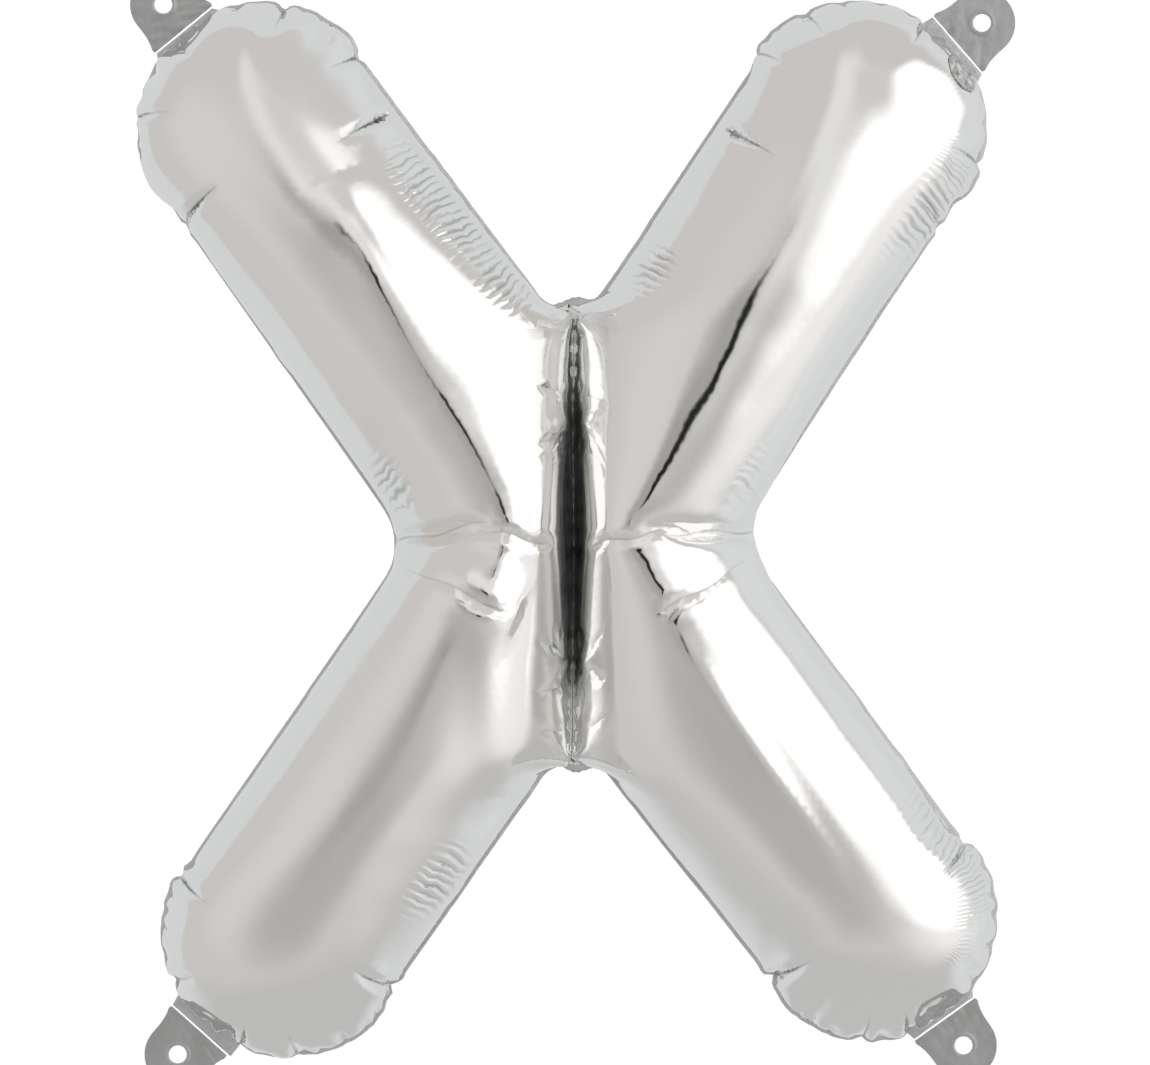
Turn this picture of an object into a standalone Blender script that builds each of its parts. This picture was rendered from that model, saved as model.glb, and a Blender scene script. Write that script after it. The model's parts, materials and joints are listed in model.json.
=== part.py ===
"""Letter X foil balloon: two foil sheets welded round their edge and down the middle, with four tabs.

Run it in Blender 4.5, in metres, with +Z up and the letter's front facing -Y. The origin lies
midway between the holes of the two upper tabs, on the line that the balloon is strung from.
"""

import math
from typing import NamedTuple

import bmesh
import bpy
from mathutils import Matrix, Vector

MM = 0.001


class Bulge(NamedTuple):
    """How far a sheet stands out of the seam plane across a tube, from outer to inner seam."""

    crown: float  # at most
    lean: float  # below 1 the crown lies nearer to the outer seam, above 1 to the inner one
    slope: float  # the smaller, the steeper it rises from its seams


class Arm(NamedTuple):
    """One arm and its tab, measured in its own quarter of the letter, where x and z are positive.

    The arm is a round tube, and its axis runs from the letter's centre to its round end's centre.
    """

    end_x: float  # the centre of its round end
    end_z: float
    half: float  # half its width there, between its two seams
    swell: float  # how much further the round end reaches than that
    tab_lean: float  # where its tab stands on the round end, in degrees above the horizontal
    tab_fold: float  # the round end's centre to the fold line of the tab

    @property
    def end(self):
        """The centre of its round end."""
        return Vector((self.end_x, self.end_z))

    @property
    def along(self):
        """The direction of its axis."""
        return self.end.normalized()

    @property
    def inward(self):
        """The direction from its axis to the seam between two arms."""
        return Vector((-self.along.y, self.along.x))

    @property
    def tab_out(self):
        """The direction in which its tab stands out."""
        lean = math.radians(self.tab_lean)
        return Vector((math.cos(lean), math.sin(lean)))


# The inflated letter, which fills a little unevenly. Its corners are (vertical, side).
ARMS = {
    ("upper", "left"): Arm(102.8 * MM, 135.5 * MM, 39.0 * MM, 2.6 * MM, 50.7, 42.4 * MM),
    ("upper", "right"): Arm(91.5 * MM, 134.0 * MM, 39.4 * MM, 3.8 * MM, 41.0, 45.0 * MM),
    ("lower", "left"): Arm(95.0 * MM, 128.5 * MM, 38.8 * MM, 2.8 * MM, 48.3, 44.4 * MM),
    ("lower", "right"): Arm(96.8 * MM, 123.8 * MM, 38.8 * MM, 2.4 * MM, 54.4, 42.0 * MM),
}
WAIST = Bulge(crown=34.3 * MM, lean=1.48, slope=0.35)
ELBOW = Bulge(crown=35.2 * MM, lean=0.74, slope=0.60)  # where the outer seam runs straight
CROTCH = Bulge(crown=35.5 * MM, lean=0.88, slope=0.45)
MIDDLE = Bulge(crown=36.1 * MM, lean=0.87, slope=0.51)
END = Bulge(crown=33.0 * MM, lean=1.0, slope=0.45)
SHOULDER = 0.1  # radians round an end over which it swells out beside its shoulders
SCALLOP = 1.0 * MM  # how deep the foil is drawn in at a crease of a round end
SCALLOPS = 7  # swellings round each end
WAIST_HALF = 57.6 * MM  # the letter's centre to the seam at the waist
WAIST_ROUND = 20.0 * MM  # the radius of the seam's bend there
CROTCH_Z = 75.0 * MM  # the letter's centre to the seam between two arms
CROTCH_HALF = 7.6 * MM  # half the length of the level seam between two arms
GROOVE_HALF = 1.5 * MM  # half the width of the groove over the centre weld

# The foil and its welds. The real foil is 0.03 mm thick, and these solids are thicker.
FOIL = 1.5 * MM
WELD = 0.8 * MM
WELD_LIP = 2.0 * MM  # what shows of the edge weld outside the tubes
WELD_ROOT = 1.6 * MM  # what the edge weld reaches in under the foil
WELD_HOLD = 3.2 * MM  # half the width of the centre weld
GAP = 0.3 * MM  # between pieces that touch

# A hanging tab. Its root is a straight fold line on the edge weld.
TAB_FOLD_GAP = 0.5 * MM
TAB_HOLE_OUT = 10.8 * MM  # the fold line to the middle of the hole
TAB_HALF = 11.0 * MM
TAB_FLARE = 1.4 * MM  # how much wider each side is at the root
TAB_FLARE_LENGTH = 3.0 * MM
HOLE_RADIUS = 3.1 * MM

# The mouth of the filling valve, an oval on the front of the upper right end.
VALVE_HALF_WIDTH = 5.6 * MM
VALVE_HALF_LENGTH = 6.6 * MM
VALVE_FILM = 0.6 * MM
VALVE_ANGLE = math.radians(31.0)  # where it stands on the round end, above the horizontal
VALVE_RISE = math.radians(26.0)  # how far up the tube's side it stands
VALVE_STEPS = 24

# How finely the curves are stepped.
ACROSS = 16  # steps across a tube, from seam to seam
ELBOW_STEPS = 9
ARM_STEPS = 3
STEPS_PER_SCALLOP = 3
ARC_STEPS = 16
HOLE_STEPS = 16

SIGNS = {"left": -1, "right": 1, "lower": -1, "upper": 1}

COLOURS = {
    "foil": ((0.80, 0.79, 0.77), 0.10, 1.0),
    "weld": ((0.72, 0.72, 0.72), 0.30, 1.0),
    "tab": ((0.55, 0.55, 0.55), 0.28, 1.0),
    "valve": ((0.62, 0.62, 0.60), 0.45, 0.0),
}


def clear_scene():
    """Removes the objects that Blender starts with."""
    for obj in list(bpy.data.objects):
        bpy.data.objects.remove(obj)


def material(name):
    """The Principled material of that name, made once: colour, roughness, metallic."""
    found = bpy.data.materials.get(name)
    if found:
        return found
    colour, roughness, metallic = COLOURS[name]
    made = bpy.data.materials.new(name)
    made.use_nodes = True
    shader = made.node_tree.nodes["Principled BSDF"]
    shader.inputs["Base Color"].default_value = (*colour, 1.0)
    shader.inputs["Roughness"].default_value = roughness
    shader.inputs["Metallic"].default_value = metallic
    return made


def hang_point():
    """The (x, z) point midway between the holes of the two upper tabs, from the letter's centre."""
    holes = []
    for side in ("left", "right"):
        arm = ARMS["upper", side]
        hole = arm.end + arm.tab_out * (arm.tab_fold + TAB_HOLE_OUT)
        holes.append(Vector((hole.x * SIGNS[side], hole.y)))
    return (holes[0] + holes[1]) / 2


def add_object(name, bm, finish, spot=Vector((0, 0, 0)), turn=0.0):
    """Makes a mesh object from bm, its origin at spot from the letter's centre, turned about Y."""
    bmesh.ops.recalc_face_normals(bm, faces=bm.faces)
    mesh = bpy.data.meshes.new(name)
    bm.to_mesh(mesh)
    bm.free()
    mesh.shade_smooth()
    mesh.set_sharp_from_angle(angle=math.radians(40.0))
    mesh.materials.append(material(finish))
    obj = bpy.data.objects.new(name, mesh)
    hang = hang_point()
    obj.location = spot - Vector((hang.x, 0, hang.y))
    obj.rotation_euler.y = turn
    bpy.context.scene.collection.objects.link(obj)
    return obj


def mirrored(points, across):
    """The (x, z) points mirrored left to right, across "x", or top to bottom, across "z"."""
    turn = Vector((-1, 1)) if across == "x" else Vector((1, -1))
    return [p * turn for p in points]


# The plan of one lobe, in the (x, z) plane, with the letter's centre at (0, 0).


def waist_bend(arm):
    """(centre, angle): the centre of the seam's bend at the waist, and where it runs straight."""
    centre = Vector((WAIST_HALF + WAIST_ROUND, 0))
    way = arm.end - arm.inward * arm.half - centre
    return centre, math.atan2(way.y, way.x) + math.acos(WAIST_ROUND / way.length)


def waist_point(arm, share, offset):
    """A point on that bend, offset outwards: share is 0 at the waist and 1 at the straight seam."""
    centre, angle = waist_bend(arm)
    turn = math.pi + (angle - math.pi) * share
    return centre + Vector((math.cos(turn), math.sin(turn))) * (WAIST_ROUND - offset)


def swell_at(arm, turn):
    """How far a round end swells at this turn round it, from 0 at one side to pi at the other."""
    swell = arm.swell * (1.0 - math.exp(-min(turn, math.pi - turn) / SHOULDER))
    return swell * (1.0 - SCALLOP / arm.swell * (1.0 - abs(math.sin(SCALLOPS * turn))))


def between(first, second, share):
    """The bulge that lies between two others."""
    crown = first.crown + (second.crown - first.crown) * share
    slope = first.slope + (second.slope - first.slope) * share
    return Bulge(crown, first.lean * (second.lean / first.lean) ** share, slope)


def arm_sections(arm):
    """Sections of an arm, waist to end, as (outer seam, inner seam, bulge) rows."""
    rows = []
    for step in range(ELBOW_STEPS + 1):
        share = step / ELBOW_STEPS
        inner = Vector((GROOVE_HALF, CROTCH_Z * share))
        rows.append((waist_point(arm, share, 0.0), inner, between(WAIST, ELBOW, share)))
    corner = Vector((CROTCH_HALF, CROTCH_Z))
    start, end = rows[-1][0], arm.end - arm.inward * arm.half
    share = (corner - start).dot(arm.along) / (end - start).dot(arm.along)
    outer, far_inner = start.lerp(end, share), arm.end + arm.inward * arm.half
    for step, bulge in enumerate((CROTCH, MIDDLE, MIDDLE, END)):
        share = step / ARM_STEPS
        rows.append((outer.lerp(end, share), corner.lerp(far_inner, share), bulge))
    return rows


def lobe_sections(side):
    """All sections of a lobe, from the lower arm's end to the upper arm's end."""
    upper = arm_sections(ARMS["upper", side])
    flip = Vector((1, -1))
    rows = arm_sections(ARMS["lower", side])[:0:-1]
    lower = [(outer * flip, inner * flip, bulge) for outer, inner, bulge in rows]
    return lower + upper


def section_points(outer, inner, bulge, inset):
    """Points across a tube from the outer seam to the inner one, inset by a wall thickness."""
    middle, half = (outer + inner) / 2, (inner - outer) / 2
    half = half * (1.0 - inset / half.length)
    points = []
    for step in range(ACROSS + 1):
        way = math.cos(math.pi * step / ACROSS)
        flat = middle - half * way
        rise = math.sin(math.pi * ((1.0 - way) / 2) ** bulge.lean)
        height = (bulge.crown - inset) * max(rise, 0.0) ** bulge.slope
        points.append(Vector((flat.x, -height, flat.y)))
    return points


def end_point(arm, turn, rise, inset):
    """A point of a round end: turn runs from the outer seam to the inner, rise up to the crown."""
    swell = swell_at(arm, turn)
    radius = (arm.half - inset) * math.cos(rise) + swell * math.cos(rise) ** 2
    across = arm.inward * (radius * math.cos(turn))
    flat = arm.end + arm.along * (radius * math.sin(turn)) - across
    return Vector((flat.x, -(END.crown - inset) * math.sin(rise), flat.y))


def lobe_surface(bm, side, inset):
    """Adds the foil's surface over a lobe, and returns its seam's loop of vertices."""
    rows = []
    for outer, inner, bulge in lobe_sections(side):
        rows.append([bm.verts.new(p) for p in section_points(outer, inner, bulge, inset)])
    for low, high in zip(rows, rows[1:]):
        for k in range(ACROSS):
            bm.faces.new((low[k], low[k + 1], high[k + 1], high[k]))
    half, steps = ACROSS // 2, SCALLOPS * STEPS_PER_SCALLOP
    seams = []
    for end, vertical in ((rows[-1], "upper"), (rows[0], "lower")):
        flip = Vector((1, 1, SIGNS[vertical]))
        spokes = [end[: half + 1]]
        for step in range(1, steps):
            turn = math.pi * step / steps
            spoke = []
            for level in range(half):
                rise = math.pi / 2 * level / half
                where = end_point(ARMS[vertical, side], turn, rise, inset)
                spoke.append(bm.verts.new(where * flip))
            spokes.append([*spoke, end[half]])
        spokes.append(end[: half - 1 : -1])
        for a, b in zip(spokes, spokes[1:]):
            for level in range(half):
                corners = (a[level], a[level + 1], b[level + 1], b[level])
                bm.faces.new(list(dict.fromkeys(corners)))
        seams.append([spoke[0] for spoke in spokes])
    top, bottom = seams
    outer_side = [row[0] for row in rows]
    inner_side = [row[-1] for row in rows]
    return outer_side[:-1] + top[:-1] + inner_side[:0:-1] + bottom[:0:-1]


def make_foil(name, facing):
    """One foil sheet as a hollow half of the letter. facing is -1 for the front, 1 for the back."""
    seam_plane = WELD / 2 + GAP
    bm = bmesh.new()
    for side in ("right", "left"):
        piece = bmesh.new()
        outside = lobe_surface(piece, side, 0.0)
        inside = lobe_surface(piece, side, FOIL)
        for k, vert in enumerate(outside):
            after = (k + 1) % len(outside)
            piece.faces.new((vert, outside[after], inside[after], inside[k]))
        bmesh.ops.scale(piece, vec=(SIGNS[side], -facing, 1), verts=piece.verts)
        bmesh.ops.translate(piece, vec=(0, facing * seam_plane, 0), verts=piece.verts)
        bmesh.ops.recalc_face_normals(piece, faces=piece.faces)
        mesh = bpy.data.meshes.new("lobe")
        piece.to_mesh(mesh)
        piece.free()
        bm.from_mesh(mesh)
        bpy.data.meshes.remove(mesh)
    obj = add_object(name, bm, "foil")
    bridge = make_bridge(name + "_bridge", facing, seam_plane)
    join = obj.modifiers.new("bridge", "BOOLEAN")
    join.operation = "UNION"
    join.object = bridge
    return obj


def make_bridge(name, facing, seam_plane):
    """The strip of a sheet that lies on the centre weld and carries on into both lobes."""
    bm = bmesh.new()
    bmesh.ops.create_cube(bm, size=1.0)
    width, height = 2 * (GROOVE_HALF + FOIL / 2), 2 * (CROTCH_Z - FOIL)
    bmesh.ops.scale(bm, vec=(width, WELD, height), verts=bm.verts)
    bmesh.ops.translate(bm, vec=(0, facing * (seam_plane + WELD * 0.55), 0), verts=bm.verts)
    obj = add_object(name, bm, "foil")
    obj.hide_render = True
    obj.display_type = "WIRE"
    return obj


# The flat pieces: the welds, the tabs and the valve's mouth.


def quarter_outline(arm, offset, with_land):
    """A quarter of the letter's outline, waist to crotch, offset outwards from the seams.

    with_land makes the outline straight along the fold line of the tab.
    """
    points = [waist_point(arm, step / ELBOW_STEPS, offset) for step in range(ELBOW_STEPS + 1)]
    out = arm.tab_out
    across = Vector((-out.y, out.x))
    land = TAB_HALF + TAB_FLARE
    steps = SCALLOPS * STEPS_PER_SCALLOP
    for step in range(steps + 1):
        turn = math.pi * step / steps
        reach = arm.half + swell_at(arm, turn) + offset
        spot = arm.along * (reach * math.sin(turn)) - arm.inward * (reach * math.cos(turn))
        if with_land and abs(spot.dot(across)) < land and spot.dot(out) > 0:
            continue
        points.append(arm.end + spot)
    if with_land:
        sides = [(p - arm.end).dot(across) for p in points]
        before = [k for k, far in enumerate(sides) if far < -land + MM / 10]
        corners = [arm.end + out * arm.tab_fold + across * (side * land) for side in (-1, 1)]
        last = max(k for k in before if (points[k] - arm.end).dot(out) > 0)
        points[last + 1 : last + 1] = corners
    points.append(Vector((CROTCH_HALF - offset / 2, CROTCH_Z + offset)))
    return points


def whole_outline(offset, with_land):
    """The letter's outline as one loop of (x, z) points."""
    quarters = {corner: quarter_outline(arm, offset, with_land) for corner, arm in ARMS.items()}
    points = []
    for vertical in ("upper", "lower"):
        right = quarters[vertical, "right"]
        left = mirrored(quarters[vertical, "left"], "x")[::-1]
        half = right + left
        points += half if vertical == "upper" else mirrored(half, "z")[-2:0:-1]
    return points


def filled_plate(outline, thickness, holes=()):
    """A flat plate on the seam plane, with round holes: outline and holes are (x, z) loops."""
    bm = bmesh.new()
    edges = []
    for loop in (outline, *holes):
        verts = [bm.verts.new((p.x, -thickness / 2, p.y)) for p in loop]
        for k, vert in enumerate(verts):
            edges.append(bm.edges.new((vert, verts[(k + 1) % len(verts)])))
    bmesh.ops.triangle_fill(bm, edges=edges, use_beauty=True)
    made = bmesh.ops.extrude_face_region(bm, geom=bm.faces[:])
    lifted = [item for item in made["geom"] if isinstance(item, bmesh.types.BMVert)]
    bmesh.ops.translate(bm, vec=(0, thickness, 0), verts=lifted)
    return bm


def make_edge_weld():
    """The welded edge of the two sheets: a flat lip all round the letter."""
    outside, inside = whole_outline(WELD_LIP, True), whole_outline(-WELD_ROOT, False)
    return add_object("edge_weld", filled_plate(outside, WELD, [inside]), "weld")


def circle(centre, radius, steps):
    """A loop of (x, z) points."""
    turns = (2 * math.pi * k / steps for k in range(steps))
    return [centre + Vector((math.cos(t), math.sin(t))) * radius for t in turns]


def tab_outline():
    """A tab as (x, z) points round it, pointing up, with its fold line along z = 0."""
    side = [
        (TAB_HALF + TAB_FLARE, TAB_FOLD_GAP),
        (TAB_HALF + TAB_FLARE / 4, TAB_FOLD_GAP + TAB_FLARE_LENGTH / 2),
        (TAB_HALF, TAB_FOLD_GAP + TAB_FLARE_LENGTH),
    ]
    points = [Vector(p) for p in side]
    for step in range(ARC_STEPS + 1):
        turn = math.pi * step / ARC_STEPS
        points.append(Vector((TAB_HALF * math.cos(turn), TAB_HOLE_OUT + TAB_HALF * math.sin(turn))))
    return points + mirrored(points[2::-1], "x")


def make_tab(vertical, side):
    """A hanging tab, its origin on its fold line."""
    arm = ARMS[vertical, side]
    flip = Vector((SIGNS[side], SIGNS[vertical]))
    out = arm.tab_out * flip
    root = arm.end * flip + out * arm.tab_fold
    hole = circle(Vector((0, TAB_HOLE_OUT)), HOLE_RADIUS, HOLE_STEPS)
    bm = filled_plate(tab_outline(), WELD, [hole])
    spot = Vector((root.x, 0, root.y))
    return add_object(f"tab_{vertical}_{side}", bm, "tab", spot, math.atan2(out.x, out.y))


def make_centre_weld():
    """The straight weld down the middle, which keeps the two lobes apart."""
    bm = bmesh.new()
    bmesh.ops.create_cube(bm, size=1.0)
    height = 2 * (CROTCH_Z - WELD_ROOT - GAP)
    bmesh.ops.scale(bm, vec=(2 * WELD_HOLD, WELD, height), verts=bm.verts)
    return add_object("centre_weld", bm, "weld")


def make_valve():
    """The oval mouth of the filling valve, lying on the foil beside the upper right tab."""
    arm = ARMS["upper", "right"]
    turn = VALVE_ANGLE - math.atan2(arm.along.y, arm.along.x) + math.pi / 2
    spot = end_point(arm, turn, VALVE_RISE, 0.0)
    side = Vector((math.cos(VALVE_ANGLE), 0, math.sin(VALVE_ANGLE)))
    outwards = (side * math.cos(VALVE_RISE) - Vector((0, 1, 0)) * math.sin(VALVE_RISE)).normalized()
    long_way = Vector((-side.z, 0, side.x))
    short_way = outwards.cross(long_way)
    turned = Matrix((short_way, long_way, outwards)).transposed().to_4x4()
    bm = bmesh.new()
    rim = {"segments": VALVE_STEPS, "radius1": 1.0, "radius2": 1.0, "depth": VALVE_FILM}
    bmesh.ops.create_cone(bm, cap_ends=True, **rim)
    bmesh.ops.scale(bm, vec=(VALVE_HALF_WIDTH, VALVE_HALF_LENGTH, 1), verts=bm.verts)
    bmesh.ops.transform(bm, matrix=turned, verts=bm.verts)
    lift = outwards * (VALVE_FILM / 2 + GAP)
    seam = Vector((0, -(WELD / 2 + GAP), 0))
    return add_object("filling_valve", bm, "valve", spot + lift + seam)


def main():
    """Builds every piece of the balloon."""
    clear_scene()
    make_foil("front_foil", -1)
    make_foil("back_foil", 1)
    make_edge_weld()
    make_centre_weld()
    for vertical, side in ARMS:
        make_tab(vertical, side)
    make_valve()


main()
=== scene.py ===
"""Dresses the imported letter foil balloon: inflated mirror film, welds, hanging tabs and filling valve.

Run it in Blender 4.5. Everything is in metres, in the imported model's own frame: the letter's front
faces -Y, +Z is up, and the origin lies between the holes of the two upper tabs.
"""

import json
import logging
import math
from collections.abc import Sequence
from dataclasses import dataclass, field, replace
from enum import Enum

import bmesh
import bpy
import numpy as np
from mathutils import Matrix, Vector
from mathutils.bvhtree import BVHTree
from mathutils.geometry import delaunay_2d_cdt

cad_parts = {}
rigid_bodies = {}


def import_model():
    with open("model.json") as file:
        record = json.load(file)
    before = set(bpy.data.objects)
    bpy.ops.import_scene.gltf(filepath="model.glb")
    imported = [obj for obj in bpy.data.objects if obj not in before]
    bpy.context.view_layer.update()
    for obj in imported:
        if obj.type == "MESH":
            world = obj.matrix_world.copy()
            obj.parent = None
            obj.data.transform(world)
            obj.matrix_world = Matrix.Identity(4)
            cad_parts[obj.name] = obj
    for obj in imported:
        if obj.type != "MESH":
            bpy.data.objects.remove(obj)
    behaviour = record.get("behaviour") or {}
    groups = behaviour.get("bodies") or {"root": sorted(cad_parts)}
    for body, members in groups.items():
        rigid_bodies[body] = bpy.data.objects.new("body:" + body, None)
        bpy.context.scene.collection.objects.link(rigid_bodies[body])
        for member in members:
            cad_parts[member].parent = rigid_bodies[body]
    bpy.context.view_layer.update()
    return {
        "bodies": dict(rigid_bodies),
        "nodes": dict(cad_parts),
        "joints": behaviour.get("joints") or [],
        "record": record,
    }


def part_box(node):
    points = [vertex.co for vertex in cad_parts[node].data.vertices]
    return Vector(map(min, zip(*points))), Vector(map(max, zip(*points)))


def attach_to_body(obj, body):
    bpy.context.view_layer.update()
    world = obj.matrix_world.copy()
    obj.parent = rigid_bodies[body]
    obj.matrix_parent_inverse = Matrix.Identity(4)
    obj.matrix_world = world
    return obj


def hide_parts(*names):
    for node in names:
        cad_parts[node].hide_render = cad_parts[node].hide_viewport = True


Colour = tuple[float, float, float]
Pixel = tuple[float, float]
Socket = bpy.types.NodeSocket

MM = 0.001
TINY = 1e-12  # keeps divisions from failing
PHOTO_SIZE = (1150, 1065)  # pixels
LETTER_CENTRE_PIXEL = (577.0, 540.0)
MM_PER_PIXEL = 0.330
FOIL_SHARE = 0.92  # of the light that the foil gives back

log = logging.getLogger("balloon")


class Corner(Enum):
    """The four corners of the letter."""

    UPPER_LEFT = "upper_left"
    UPPER_RIGHT = "upper_right"
    LOWER_LEFT = "lower_left"
    LOWER_RIGHT = "lower_right"

    @property
    def tab_name(self) -> str:
        """The name that the model gives the tab, and its body, at this corner."""
        return f"tab_{self.value}"


class Face(Enum):
    """The two foil sheets. The value is the sign of y on that side."""

    FRONT = -1
    BACK = 1


@dataclass(frozen=True)
class TabPlace:
    """Where a tab's fold line lies, and the direction in which the tab stands out, in (x, z)."""

    root: Vector
    out: Vector


@dataclass
class Placement:
    """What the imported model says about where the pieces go."""

    centre: Vector
    tabs: dict[Corner, TabPlace] = field(default_factory=dict)

    @classmethod
    def from_frame(cls, joints: list[dict]) -> "Placement":
        """Reads the letter's centre and the four fold lines.

        Args:
            joints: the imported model's joints.

        Returns:
            The places, with each fold line relative to the letter's centre.
        """
        low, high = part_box("centre_weld")
        placement = cls(centre=(low + high) / 2)
        by_child = {joint["child"]: joint for joint in joints}
        for corner in Corner:
            joint = by_child[corner.tab_name]
            pivot = Vector(joint["pos_m"]) - placement.centre
            out = Vector((-joint["axis"][2], joint["axis"][0]))
            root = Vector((pivot.x, pivot.z))
            placement.tabs[corner] = TabPlace(root, out if out.dot(root) > 0 else -out)
        return placement


def pixel_spot(pixel: Pixel, centre: Vector) -> Vector:
    """The (x, z) place on the seam plane that a pixel of the photograph shows."""
    right, down = ((at - middle) * MM_PER_PIXEL * MM for at, middle in zip(pixel, LETTER_CENTRE_PIXEL))
    return Vector((centre.x + right, centre.z - down))


# Finishes.


@dataclass(frozen=True)
class Grain:
    """A noise pattern, and the band of it that is spread over a range of tones."""

    scale: float  # features to a metre
    detail: float
    rough: float = 0.5
    band: tuple[float, float] = (0.3, 0.7)


@dataclass(frozen=True)
class NodeBench:
    """A tree of shader nodes, with short ways to add and join them."""

    tree: bpy.types.NodeTree

    def node(self, kind: str, **settings: object) -> bpy.types.Node:
        """Adds a node, sets its properties, and sets or joins its inputs.

        Args:
            kind: the node's type without its "ShaderNode" prefix.
            settings: properties by name, and inputs by name with blanks written as "_".

        Returns:
            The node.
        """
        made = self.tree.nodes.new("ShaderNode" + kind)
        for key, value in settings.items():
            if hasattr(made, key):
                setattr(made, key, value)
            else:
                self.feed(value, made.inputs[key.replace("_", " ")])
        return made

    def feed(self, value: object, target: Socket) -> None:
        """Joins an output to a socket, or sets the socket to a number or a colour.

        Args:
            value: the output, number or colour.
            target: the socket.
        """
        if isinstance(value, Socket):
            self.tree.links.new(value, target)
        else:
            target.default_value = (*value, 1.0) if isinstance(value, tuple) else value

    def attribute(self, name: str) -> Socket:
        """The socket of a point attribute."""
        return self.node("Attribute", attribute_name=name).outputs["Fac"]

    def maths(self, operation: str, *values: object) -> Socket:
        """One arithmetic step.

        Args:
            operation: Blender's name for it.
            values: sockets or numbers.

        Returns:
            The outcome's socket.
        """
        made = self.node("Math", operation=operation)
        for slot, value in zip(made.inputs, values):
            self.feed(value, slot)
        return made.outputs[0]

    def times(self, *values: object) -> Socket:
        """The product of sockets and numbers.

        Args:
            values: a socket, then sockets or numbers.

        Returns:
            The product's socket.
        """
        product, *others = values
        for other in others:
            product = self.maths("MULTIPLY", product, other)
        return product

    def bell(self, aside: Socket, width: float) -> Socket:
        """A bell curve over a distance."""
        share = self.maths("DIVIDE", aside, width)
        return self.maths("EXPONENT", self.times(share, share, -1.0))

    def span(self, value: Socket, low: float, high: float, first: float, last: float) -> Socket:
        """Turns the range low to high into first to last, and clamps it."""
        ends = {"From_Min": low, "From_Max": high, "To_Min": first, "To_Max": last}
        return self.node("MapRange", Value=value, clamp=True, **ends).outputs[0]

    def noise(self, where: Socket, grain: Grain) -> Socket:
        """A noise pattern, about 0 to 1."""
        sizes = {"Scale": grain.scale, "Detail": grain.detail, "Roughness": grain.rough}
        return self.node("TexNoise", Vector=where, **sizes).outputs[0]

    def cloud(self, where: Socket, grain: Grain, low: float = 0.0, high: float = 1.0) -> Socket:
        """A noise pattern whose band is spread from low to high."""
        return self.span(self.noise(where, grain), *grain.band, low, high)

    def mix(self, share: Socket, first: object, last: object) -> Socket:
        """Goes from the first colour to the last.

        Args:
            share: the socket of the last one's share.
            first: a socket or a colour.
            last: a socket or a colour.

        Returns:
            The socket of the mixed colour.
        """
        made = self.node("MixRGB", blend_type="MIX")
        for slot, value in zip(made.inputs, (share, first, last)):
            self.feed(value, slot)
        return made.outputs[0]

    def bump(self, height: Socket, depth: float, strength: float, below: Socket | None = None) -> Socket:
        """A bump layer.

        Args:
            height: the socket of the height, 0 to 1.
            depth: what a height of 1 stands for, in metres.
            strength: the layer's strength.
            below: the normal of the layer under this one.

        Returns:
            The socket of the normal.
        """
        made = self.node("Bump", Height=height, Distance=depth, Strength=strength)
        if below is not None:
            self.feed(below, made.inputs["Normal"])
        return made.outputs[0]


def duller(tint: Colour, share: float) -> Colour:
    """The tint, darker by that factor."""
    return tuple(share * part for part in tint)


class Finish:
    """A finish that is worked out by nodes, on object coordinates."""

    def make(self, name: str) -> bpy.types.Material:
        """A new material with this finish.

        Args:
            name: the material's name.

        Returns:
            The material.
        """
        made = bpy.data.materials.new(name)
        made.use_nodes = True
        bench = NodeBench(made.node_tree)
        shader = made.node_tree.nodes["Principled BSDF"].inputs
        for socket, value in self.looks(bench, bench.node("TexCoord").outputs["Object"]).items():
            bench.feed(value, shader[socket])
        return made

    def looks(self, bench: NodeBench, spot: Socket) -> dict[str, object]:
        """What the finish looks like.

        Args:
            bench: the material's nodes.
            spot: the socket of the object coordinates.

        Returns:
            What goes to the shader, by the name of its socket.
        """
        raise NotImplementedError


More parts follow.
